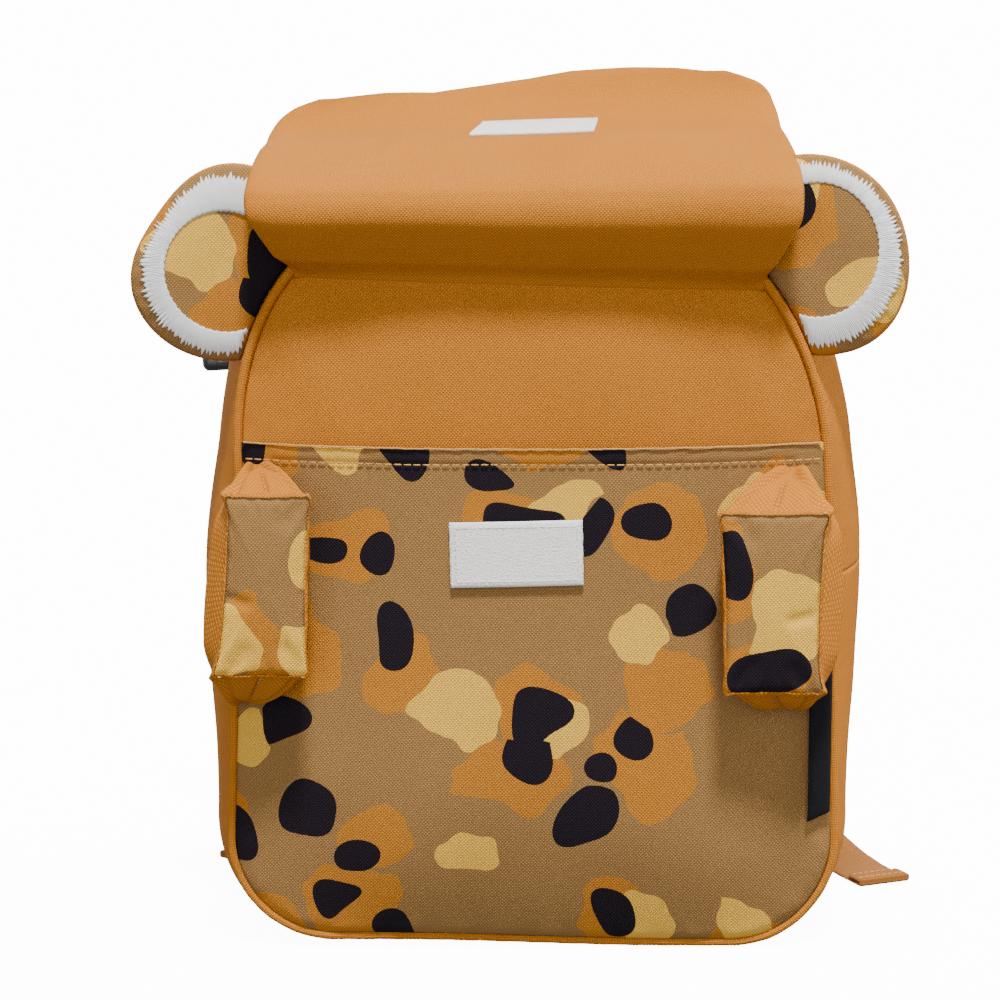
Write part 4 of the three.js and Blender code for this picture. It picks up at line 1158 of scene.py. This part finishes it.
# Creases of a wrapped end: one up the middle, and one from each corner of the face to the middle behind it.
def wrapFolds(forward, a, b):
    onEnd = smoothstep(np.abs(b), 0.86, 0.97)
    slant = hump((np.abs(a) - clamp(forward * 1.05 - 0.1)) / 0.13) * smoothstep(forward, 0.1, 0.4)
    middle = hump(a / 0.05) * smoothstep(forward, 0.45, 0.7) * (1 - smoothstep(forward, 0.86, 0.97))
    cheek = hump((np.abs(a) - 0.55) / 0.3) * np.sin(np.pi * clamp(forward))
    return onEnd * (0.9 * cheek - slant * 1.1 - middle * 0.9)


def makePaw(row):
    forward = np.linspace(-0.1, 1, paw["steps"])[:, None]
    t, a, b = pawOutline(forward)
    wall = pawSpot(row, forward, a, b)
    centre = pawSpot(row, forward, 0 * a, 0 * b)
    out = unit((wall - centre) * [1, 0, 1])
    inside = clamp(forward)
    arch = np.sin(np.pi * inside)
    swell = paw["swell"] * arch ** 1.3 + paw["ripple"] * wander(t * 3 + forward * 4, row["seed"]) * arch
    pucker = paw["pucker"] * wander(t * 9, row["seed"], 1, 1.7, 2.9)
    pucker = pucker * hump((1 - forward) / paw["puckerWidth"]) * (forward < 0.995)
    wall = wall + out * (swell + pucker + paw["foldDepth"] * wrapFolds(forward, a, b))[..., None]
    # The face's edge pulls in between its corners, which stand out as points.
    corner = hump(np.minimum(t % 1, 1 - t % 1) / 0.07)
    pull = (paw["tip"] * corner - paw["drawIn"] * (1 - corner)) * smoothstep(forward, 0.8, 1)
    wall = wall + out * pull[..., None]
    # Behind the face's outer corners the wall is pinched out further, into a fold.
    pinch = corner * smoothstep(a, 0.3, 0.9) * hump((forward - 0.86) / 0.13)
    wall[..., 0] += row["side"] * paw["pinch"] * pinch
    around = t * paw["cloth"]
    cloth = joined(np.append(around, 4 * paw["cloth"])[None], forward * paw["reach"])
    piece = Piece("paw" + row["name"])
    piece.net(wall, cloth, wrapCols=True)
    rim, away = wall[-1], out[-1]
    fin = paw["seam"] * (0.8 + 0.25 * wander(t * 15, row["seed"]))[:, None]
    lean = 0.3 * wander(t * 9, row["seed"] + 1)[:, None]
    seam = np.stack([rim, rim + away * (fin * 0.5) + [0, 0.5, 0], rim + away * fin + [0, 0.1, 0] + [0, 1, 0] * lean,
                     rim + away * fin * 0.85 + [0, -0.7, 0] + [0, 1, 0] * lean, rim + [0, -0.9, 0]])
    flat = joined(np.append(around, 4 * paw["cloth"])[None], np.arange(5)[:, None] * 1.2)
    piece.net(seam, flat, wrapCols=True)
    piece.make([mustard], ["paw_" + row["name"].lower()], "mustard_cloth", padded=0.7)
    makePawFace(row, rim, a[-1], b[-1])
    makePawStitches(row, wall, out)


pawDents = [(17, -4, 5, -7, 2.6, 1.1), (-16, -34, -6, -22, 3.5, 1.0), (14, -34, 7, -24, 3.5, 0.9),
            (-15, 34, -7, 24, 3.5, 0.9), (-13, 12, -12, -20, 4, 0.6)]


def makePawFace(row, rim, a, b):
    middle = rim.mean(0)
    share = (1 - np.linspace(0, 1, paw["faceRings"]) ** 1.3)[:, None]
    face = middle + (rim - middle)[None] * share[..., None]
    inward = 1 - share
    dome = paw["dome"] * (1 - share ** 2.6) - hump(inward / 0.05)
    along = np.arctan2(b, a) * 24
    pucker = paw["facePucker"] * wander(along / 1.6, row["seed"], 1, 1.6, 2.7) * hump((inward - 0.06) / 0.07)
    sideX, sideZ = (face[..., 0] - middle[0]) * row["side"], face[..., 2] - middle[2]
    dents = folds(sideX, sideZ, pawDents) * smoothstep(inward, 0, 0.1)
    face[..., 1] += -paw["faceOut"] - dome * (0.75 + 0.25 * np.cos(b * share * 1.5)) + pucker + dents
    flat = joined(face[..., 0] + row["cloth"][0], face[..., 2] + row["cloth"][1])
    piece = Piece("pawFace" + row["name"]).net(face, np.hstack([flat, flat[:, :1]]), wrapCols=True)
    thicken(piece.make([printed], ["paw_face_" + row["name"].lower()], "printed_cloth", padded=0.7), 0.8)


# Pale stitches show where the face's seam is pulled tight, and up the middle of each wrapped end.
def makePawStitches(row, wall, out):
    sewn = Piece("pawStitches" + row["name"])
    quarter, near, few = paw["around"] // 4, 16, 5
    ring = wall[-1] + out[-1] * 0.5 + [0, -0.55, 0]
    outerSide = np.arange(quarter + 4, 2 * quarter - 4)
    addStitches(sewn, ring[outerSide], facingFront(len(outerSide)), "pawSide")
    for side in (0, 2):
        middle = int((side + 0.5) * quarter)
        run = wall[-near:, middle] + out[-near:, middle] * 0.25
        addStitches(sewn, run, out[-near:, middle], "pawEnd")
        for start in (side * quarter, (side + 1) * quarter - few):
            addStitches(sewn, ring[start:start + few], facingFront(few), "pawCorner")
    sewn.make([paleThread], slot="white_thread")


for pawRow in pawRows:
    makePaw(pawRow)
print("paws made")

# Back panel, straps, webbing, chest strap and handle
harness = {"strapWidth": 46, "strapThickness": 9, "webbing": 25, "webbingThickness": 1.6, "adjusterHeight": 20,
           "adjusterThickness": 6, "chest": 18, "clipWidth": 22, "clipLength": 28, "clipThickness": 7, "handle": 20,
           "lip": 4.2, "lipThickness": 2.6}
strapRows = np.array([(0.31, 0, 0.9), (0.34, 0.012, 0.85), (0.42, 0.13, 0.76), (0.54, 0.22, 0.62),
                      (0.65, 0.23, 0.49), (0.73, 0.18, 0.38)])
rootX, rootZ = strapRows[0, 0] * bag["lowHalf"] - harness["strapWidth"] / 3, strapRows[0, 2] * seamTop
strapRootY = float(backFace(rootX, rootZ)) + bag["clear"] + harness["strapThickness"] / 2


def makeBackPanel():
    def relief(x, z, inward):
        rows = sum(hump((x - line) / 1.9) for line in (-52, 0, 52))
        return -puckers(x, z, inward, 0.35, 5.0) - 1.5 * rows * smoothstep(inward, 0.02, 0.12)
    piece = panelPiece("backPanel", allShares, lineHigh, backFace, relief, (300, 0))
    thicken(piece.make([mustard], ["back_panel"], "mustard_cloth", padded=0.5), 6)


# The zip: a tape along the gusset's middle with a raised coil, and a slider that hangs on it.
zipper = {"half": 4.05, "sink": 0.5, "coil": 2.1, "coilRise": 1.3, "pitch": 1.5, "slider": (8.2, 10.5, 3.6)}


def makeZip():
    length = (2 - 2 * sideShare) * halfLength
    inset, perTooth = 0.002, 5
    shares = np.linspace(sideShare + inset, 2 - sideShare - inset, int(length / zipper["pitch"]) * perTooth)
    y = np.array([-1, -0.75, -0.53, -0.5, -0.3, -0.08, 0, 0.08, 0.3, 0.5, 0.53, 0.75, 1]) * zipper["half"]
    share, across = np.meshgrid(shares, y, indexing="ij")
    along = share * halfLength
    inCoil = np.abs(across) < zipper["coil"] * 0.98
    teeth = np.sin(along * 2 * np.pi / zipper["pitch"] + (across > 0) * np.pi)
    rounded = np.sqrt(clamp(1 - (np.abs(np.abs(across) - zipper["coil"] / 2) / zipper["coil"] * 1.9) ** 2))
    lift = -zipper["sink"] + np.where(inCoil, zipper["coilRise"] * rounded * (0.72 + 0.28 * teeth), 0)
    cloth = joined(across + 0 * along, along)
    Piece("zipRun").net(gussetPoint(share, across, lift), cloth).make([zipTape], ["zip"], "zip_tape")


def makeSlider():
    low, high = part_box("zip_slider")
    middle = (np.array(low) + np.array(high)) / 2 / millimetre
    shares = np.linspace(sideShare, 2 - sideShare, 4000)
    run = gussetPoint(shares, 0 * shares, 0)
    spot = shares[np.argmin(np.hypot(run[:, 0] + sway(run[:, 2]) - middle[0], run[:, 2] - middle[2]))]
    ends = gussetPoint(np.array([spot - 4 / halfLength, spot, spot + 4 / halfLength]), np.zeros(3), 0)
    along, deep = unit(ends[2] - ends[0]), np.array([0.0, 1, 0])
    out = np.cross(along, deep)
    out = out if np.dot(out, ends[1] - [0, 0, 150]) > 0 else -out
    wide, long, thick = zipper["slider"]
    pullLength, pullHalf = 13, 2.3
    base = ends[1] + out * 1.2
    piece = Piece("zipSlider")
    for lift, size in ((0, 1), (thick * 0.62, 0.92)):
        at = base + out * lift
        bar(piece, at - along * long / 2 * size, at + along * long / 2 * size, deep, wide * size, 1.3)
    bar(piece, base, base + out * thick * 0.6, deep, 2.4, long * 0.4)
    top = base + out * (thick + 0.4)
    bar(piece, top - along * 3.4, top + along * 3.0, deep, 2.2, 1.2)
    pull = top - along * 3
    for edge in (-1, 1):
        start = pull + deep * edge * pullHalf
        bar(piece, start, start - along * pullLength + out * 0.6, deep, 1.5, 1.1)
    for reach in (0.4, pullLength + 0.2):
        at = pull - along * reach + out * 0.04 * reach
        bar(piece, at - deep * 3, at + deep * 3, along, 1.7, 1.2)
    piece.make([metal], ["zip_slider"], "black_metal")


# Points, sideways directions and facing directions along a strap.
def strapFrame(points, count, wideFrom, wideTo, after=0.0):
    middle, length = smoothCurve(points, count)
    along = unit(np.gradient(middle, axis=0))
    share = clamp((np.linspace(0, 1, count) - after) / (1 - after))[:, None]
    wide = lerp(np.array(wideFrom, float), np.array(wideTo, float), share)
    wide = unit(wide - along * (wide * along).sum(-1, keepdims=True))
    return middle, wide, np.cross(along, wide), length


# A flat strap: its section is a ring of across and through shares, with rounded edges.
def strapNet(piece, frame, width, thickness, seed=1.0):
    middle, wide, through, length = frame
    around = np.array([(-1, 0), (-0.97, 0.7), (-0.9, 1), (-0.5, 1), (0, 1), (0.5, 1), (0.9, 1), (0.97, 0.7), (1, 0),
                       (0.97, -0.7), (0.9, -1), (0.5, -1), (0, -1), (-0.5, -1), (-0.9, -1), (-0.97, -0.7)])
    run = np.linspace(0, length, len(middle))
    soft = 0.12 * wander(run / 7, seed)[:, None] * np.abs(around[:, 0]) ** 2
    net = (middle[:, None] + wide[:, None] * (around[:, :1] * width / 2)[None]
           + through[:, None] * (around[:, 1:] * thickness / 2 + soft[..., None]))
    across = around[:, 0] * width / 2
    flat = np.append(np.where(around[:, 1] >= 0, across, width - across), -width / 2)
    marks = joined(flat, run[:, None])
    piece.net(net, marks, wrapCols=True)
    for end in (0, -1):
        piece.cap(net[end], np.repeat(marks[end][None], 2, 0))
    return piece


def behindBag(side, rows):
    rows = np.atleast_2d(rows)
    return joined(side * rows[:, 0] * bag["lowHalf"], strapRootY + rows[:, 1] * bag["depth"], rows[:, 2] * seamTop)


# The padded strap: a soft body between two bound edges, tapering to its ends.
def makePaddedStrap(name, side, node):
    middle, wide, through, length = strapFrame(behindBag(side, strapRows), 130, (1, 0, 0), (1, 0, 0))
    if (through[:, 1] < 0).mean() > 0.5:
        through = -through
    half, lip = harness["strapWidth"] / 2, harness["lip"]
    a = np.concatenate([np.linspace(-1, 1, 41), np.linspace(1, -1, 41)[1:-1]])
    top = np.concatenate([np.ones(41), -np.ones(39)])
    inner = 1 - lip / half
    body = np.sqrt(clamp(1 - clamp(np.abs(a) / inner) ** 4))
    run = np.linspace(0, length, len(middle))
    ends = np.minimum(smoothstep(run, 0, 12), smoothstep(length - run, 0, 12))[:, None]
    thin = harness["lipThickness"] / 2
    edge = thin * np.sqrt(clamp(1 - (clamp(np.abs(a) - 0.94) / 0.06) ** 2))
    thick = edge + (harness["strapThickness"] / 2 - thin) * body * ends
    ripple = 0.3 * wander(run / 4.2, side)[:, None] * hump((np.abs(a) - inner) / 0.12) * (np.abs(a) < inner + 0.05)
    high = (top * thick + ripple * top)[..., None]
    net = middle[:, None] + wide[:, None] * (a * half)[None, :, None] + through[:, None] * high
    across = np.append(np.where(top > 0, a * half, 2 * half - a * half), -half)
    cloth = joined(across[None] + 320 + side * 60, run[:, None] + 90)
    piece = Piece(name)
    looks = np.where((np.abs(a) < inner) & (top > 0), 0, 1)
    piece.net(net, cloth, wrapCols=True)
    piece.looks[-1] = np.tile(looks, len(middle) - 1)
    for end in (0, -1):
        piece.cap(net[end], np.repeat(cloth[:1], 2, 0), look=1)
    piece.make([printed, mustard], [node], "printed_cloth", padded=0.8)
    sewn = Piece(name + "Stitches")
    for edgeSide in (-1, 1):
        path = middle + wide * edgeSide * (half - lip + 1.0) + through * (thin + 0.15)
        addStitches(sewn, path[3:-3], through[3:-3], "strap")
    sewn.make([thread], slot="white_thread")
    return through


# A rounded bar of plastic between two points.
def bar(piece, start, end, wide, width, thickness):
    start, end = np.asarray(start, float), np.asarray(end, float)
    along = unit(end - start)
    wide = unit(wide - along * np.dot(wide, along))
    through = np.cross(along, wide)
    turn = roundTurn(16)
    c, s = np.cos(turn), np.sin(turn)
    size = (np.abs(c) ** 5 + np.abs(s) ** 5) ** (-1 / 5)
    steps = np.array([0, 0.35, 0.8, 1.0])
    inset = np.array([0.55, 0.85, 0.97, 1])
    length = np.linalg.norm(end - start)
    soft = min(thickness, length) * 0.35
    spots = np.concatenate([steps * soft, length - steps[::-1] * soft])
    scale = np.concatenate([inset, inset[::-1]])
    net = (start + along * spots[:, None])[:, None] + (wide * (c * size * width / 2)[:, None]
          + through * (s * size * thickness / 2)[:, None])[None] * scale[:, None, None]
    around = np.append(turn, 2 * np.pi) * (width + thickness) / 4
    piece.net(net, joined(around, spots[:, None]), wrapCols=True)
    for end in (0, -1):
        piece.cap(net[end], np.zeros((2, 17, 2)))
    return piece


# Ladder-lock adjuster: two rails and three rungs.
def makeAdjuster(name, node, start, fall, wide, through):
    piece = Piece(name)
    width, height, thick = harness["webbing"] * 1.25, harness["adjusterHeight"], harness["adjusterThickness"]
    end = start + fall * height
    for edge in (-1, 1):
        shift = wide * edge * (width / 2 - 1.6)
        bar(piece, start + shift, end + shift, wide, 3.2, thick * 0.75)
    for share, lift, size in ((0.09, 0.0, 3.2), (0.5, 0.12, 3.6), (0.93, 0.22, 4.4)):
        middle = start + fall * height * share + through * thick * lift
        bar(piece, middle - wide * (width / 2 - 1.2), middle + wide * (width / 2 - 1.2), fall, size, thick * 0.55)
    piece.make([plastic], [node], "black_plastic")


tailRows = [{"name": "Left", "side": -1, "end": (-129, 48), "head": (-0.6, -0.8)},
            {"name": "Right", "side": 1, "end": (154, 17), "head": (0.37, -0.93)}]


def makeHarness(row):
    side, thick, wideWeb = row["side"], harness["webbingThickness"], harness["webbing"]
    through = makePaddedStrap("shoulderStrap" + row["name"], side, "shoulder_strap_" + row["name"].lower())
    ends = behindBag(side, strapRows)
    fall = unit(ends[-1] - ends[-2])
    buckle = ends[-1] + fall * bag["clear"]
    rightward = np.array([1.0, 0, 0])
    facing = unit(np.cross(fall, rightward))
    facing = facing if facing[1] > 0 else -facing
    makeAdjuster("adjuster" + row["name"], "adjuster_" + row["name"].lower(), buckle, fall, rightward, facing)
    buckleEnd = buckle + fall * harness["adjusterHeight"]
    bend = wideWeb / 4
    anchorTop = behindBag(side, (0.86, 0.06, 0.15))[0]
    slack = buckleEnd + fall * bend
    droop = unit(anchorTop - slack)
    belt = [buckle + fall * 9 - facing * 0.5, buckleEnd + fall * 2 * bag["clear"], slack,
            anchorTop - droop * bend, anchorTop + droop * 2]
    tilted = (0.8, 0.15 * side, 0.55 * side)
    piece = Piece("strapWebbing" + row["name"])
    strapNet(piece, strapFrame(belt, 40, (1, 0, 0), tilted), wideWeb, thick)
    piece.make([webbing], ["strap_webbing_" + row["name"].lower()], "webbing")
    foot = behindBag(side, (0.93, 0, 0.1))[0]
    foot[1] = back + seamInset + 2 * thick - 0.8
    anchor = [anchorTop - droop * 7 - through[-1] * 0.2, anchorTop + droop * bend,
              foot + unit(foot - anchorTop) * 1.5]
    piece = Piece("strapAnchor" + row["name"])
    frameAt = strapFrame(anchor, 24, tilted, (0.55, 0, 0.8 * side))
    strapNet(piece, frameAt, wideWeb * 1.12, 3.4)
    piece.make([mustard], ["strap_anchor_" + row["name"].lower()], "mustard_cloth")
    sewn = Piece("anchorStitches" + row["name"])
    m, w, t, _ = frameAt
    t = t if t[:, 1].mean() > 0 else -t
    for share in (0.2, 0.62):
        k = int(share * 23)
        line = m[k] + w[k] * np.linspace(-11, 11, 20)[:, None] + t[k] * 1.75
        addStitches(sewn, line, np.tile(t[k], (20, 1)), "anchor")
    sewn.make([thread], slot="white_thread")
    makeTail(row, buckleEnd, fall, bend)


# The free end of the webbing, folded double and sewn at its tip, lies on the floor.
def makeTail(row, buckleEnd, fall, bend):
    side, thick, wideWeb = row["side"], harness["webbingThickness"], harness["webbing"]
    (endX, endY), (headX, headY) = row["end"], row["head"]
    lying, low, doubled = 95, thick / 2 + bag["clear"], 10.5
    behind = lambda length, z: np.array([endX - headX * length, endY - headY * length, z])
    top = buckleEnd - fall * harness["adjusterHeight"] / 2
    top = top + [0, harness["adjusterThickness"] / 2 + bag["clear"] + thick, 0]
    landing = behind(lying, 0)
    path = [top - fall * 4, top, (top[0] + side * bend, top[1] + bend, top[2] * 0.6),
            (lerp(top[0], landing[0], 0.6), max(top[1], landing[1]) + bend, wideWeb),
            behind(lying * 0.74, bend), behind(lying * 0.32, low), np.array([endX, endY, low + thick * 0.6])]
    frameAt = strapFrame(path, 150, (1, 0, 0), (-headY, headX, 0))
    middle, wide, through, length = frameAt
    piece = Piece("webbingTail" + row["name"])
    strapNet(piece, frameAt, wideWeb, thick, seed=side)
    through = through if through[-1, 2] > 0 else -through
    fold = int(150 * (1 - doubled / length))
    double = (middle[fold:] + through[fold:] * (thick + 0.05), wide[fold:], through[fold:], doubled)
    strapNet(piece, double, wideWeb, thick, seed=side + 2)
    tip = middle[-1] + through[-1] * (thick / 2 + 0.02)
    along = unit(middle[-1] - middle[-3])
    bar(piece, tip - wide[-1] * wideWeb * 0.49, tip + wide[-1] * wideWeb * 0.49, along, 1.6, thick * 2)
    piece.make([webbing], ["webbing_tail_" + row["name"].lower()], "webbing")
    sewn = Piece("tailStitches" + row["name"])
    for inset in (8.6, 2.6):
        at = middle[-1] - along * inset + through[-1] * (thick * 1.55)
        line = at + wide[-1] * np.linspace(-11.3, 11.3, 30)[:, None]
        addStitches(sewn, line, np.tile(through[-1], (30, 1)), "tail")
    sewn.make([thread], slot="white_thread")


def strapFace(up):
    out = np.interp(-up, -strapRows[:, 2], strapRows[:, 1])
    return strapRootY + out * bag["depth"] + harness["strapThickness"] / 2 + 0.9 + harness["webbingThickness"]


chestRows = [{"name": "Left", "first": (-0.5, 0.74), "last": (-0.95, 0.732), "out": -0.02, "flat": True},
             {"name": "Right", "first": (0.42, 0.71), "last": (0.12, 0.66), "out": 0.01, "flat": False}]


# Side-release clip halves: a socket on one side and a two-armed tongue on the other.
def makeChest(row):
    half, top = bag["lowHalf"], seamTop
    start = np.array([row["first"][0] * half, strapFace(row["first"][1]), row["first"][1] * top])
    end = np.array([row["last"][0] * half, start[1] + row["out"] * bag["depth"], row["last"][1] * top])
    middle = (start + end) / 2 + [0, harness["webbingThickness"], 0]
    upright = np.array([0, -0.25, 1])
    turned = np.array([0, 1, 0.1]) if row["flat"] else upright
    run = unit(end - middle)
    frameAt = strapFrame([start, middle, end, end + run * 3], 60, upright, turned, 0.4)
    piece = Piece("chestStrap" + row["name"])
    strapNet(piece, frameAt, harness["chest"], harness["webbingThickness"])
    piece.make([webbing], ["chest_strap_" + row["name"].lower()], "webbing")
    clip = Piece("chestClip" + row["name"])
    wide = unit(turned - run * np.dot(turned, run))
    width, length, thick = harness["clipWidth"], harness["clipLength"], harness["clipThickness"]
    base = end + run * 0.8
    for share in (0.05, 0.3):
        at = base + run * length * share
        bar(clip, at - wide * width * 0.48, at + wide * width * 0.48, run, 3.0, thick * 0.6)
    for edge in (-1, 1):
        shift = wide * edge * (width / 2 - 1.4)
        bar(clip, base + shift, base + run * length * 0.36 + shift, wide, 2.8, thick * 0.7)
    if row["flat"]:
        bar(clip, base + run * length * 0.32, base + run * length * 0.98, wide, width * 0.98, thick)
        for edge in (-1, 1):
            grip = base + run * length * 0.62 + wide * edge * width * 0.47
            bar(clip, grip - run * 4, grip + run * 4, wide, 1.6, thick * 0.5)
    else:
        bar(clip, base + run * length * 0.3, base + run * length * 0.48, wide, width * 0.94, thick * 0.8)
        bar(clip, base + run * length * 0.4, base + run * length * 0.98, wide, 4.2, thick * 0.5)
        for edge in (-1, 1):
            arm = base + run * length * 0.42 + wide * edge * width * 0.36
            tip = base + run * length * 0.97 + wide * edge * width * 0.4
            bar(clip, arm, tip, wide, 3.4, thick * 0.6)
    clip.make([plastic], ["chest_clip_" + row["name"].lower()], "black_plastic")


handleRows = [(0.2, 0, 0.92), (0.2, 0.005, 0.95), (0.2, 0.03, 0.995), (0.15, 0.09, 1.05), (0, 0.13, 1.07)]


def makeHandle():
    root = float(backFace(handleRows[0][0] * bag["lowHalf"] / 2, handleRows[0][2] * seamTop))
    root += bag["clear"] + harness["webbingThickness"] / 2
    at = lambda side, row: (side * row[0] * bag["lowHalf"], root + row[1] * bag["depth"], row[2] * seamTop)
    path = [at(-1, row) for row in handleRows] + [at(1, row) for row in handleRows[:-1][::-1]]
    middle, length = smoothCurve(path, 120)
    turn = np.pi * smoothstep(np.linspace(0, 1, 120), 0.12, 0.88)
    wide = joined(np.cos(turn), np.sin(turn), 0 * turn)
    along = unit(np.gradient(middle, axis=0))
    wide = unit(wide - along * (wide * along).sum(-1, keepdims=True))
    piece = Piece("carryHandle")
    strapNet(piece, (middle, wide, np.cross(along, wide), length), harness["handle"], harness["webbingThickness"])
    piece.make([webbing], ["carry_handle"], "webbing")


# Pale stitches close the seam between the upper and lower sides.
def makeSideSeams():
    piece = Piece("sideSeamStitches")
    y = np.linspace(-gussetHalf + 0.6, gussetHalf - 0.6, 120)
    for share in (sideShare, 2 - sideShare):
        nx, nz = seamAt(np.full(120, share))[2:]
        path = gussetPoint(np.full(120, share), y, bag["cloth"] / 2 - 0.1)
        addStitches(piece, path, joined(nx, 0 * nx, nz), "sideSeam")
    piece.make([thread], slot="white_thread")


makeBackPanel()
makeZip()
makeSlider()
makeSideSeams()
for tailRow in tailRows:
    makeHarness(tailRow)
for chestRow in chestRows:
    makeChest(chestRow)
makeHandle()
print("straps made")


# Floor and soft studio light
studio = {"floor": 60, "world": 0.4, "floorGlow": 12,
          "key": {"from": (0.05, -0.375, 0.927), "strength": 6.7, "spread": 9},
          "front": {"from": (-0.15, -1.0, 0.3), "strength": 1.45, "spread": 50},
          "side": {"from": (1.0, 0.25, 0.3), "strength": 3.0, "spread": 50},
          "rear": {"from": (-0.4, 1.0, 0.3), "strength": 2.0, "spread": 60}}


def makeStage():
    bpy.ops.mesh.primitive_plane_add(size=studio["floor"], location=(0, 0, 0))
    floor = bpy.context.object
    floor.name = "floor"
    look = Look("paleFloor", Roughness=0.9, Specular_IOR_Level=0.1, Emission_Strength=studio["floorGlow"])
    look.shader.inputs["Base Color"].default_value = paint(0.9, 0.9, 0.9)
    look.shader.inputs["Emission Color"].default_value = paint(1, 1, 1)
    floor.data.materials.append(look.material)
    floor.visible_diffuse = False  # the bag gets no glow from below
    floor.visible_glossy = False
    world = bpy.data.worlds.new("paleRoom")
    bpy.context.scene.world = world
    world.use_nodes = True
    world.node_tree.nodes["Background"].inputs[0].default_value = (1, 1, 1, 1)
    world.node_tree.nodes["Background"].inputs[1].default_value = studio["world"]


def addSun(name, row):
    data = bpy.data.lights.new(name, "SUN")
    data.energy, data.angle = row["strength"], math.radians(row["spread"])
    light = bpy.data.objects.new(name, data)
    bpy.context.collection.objects.link(light)
    light.location = row["from"]
    light.rotation_euler = Vector([-value for value in row["from"]]).to_track_quat("-Z", "Y").to_euler()


makeStage()
for sun in ("key", "front", "side", "rear"):
    addSun(sun + "Light", studio[sun])
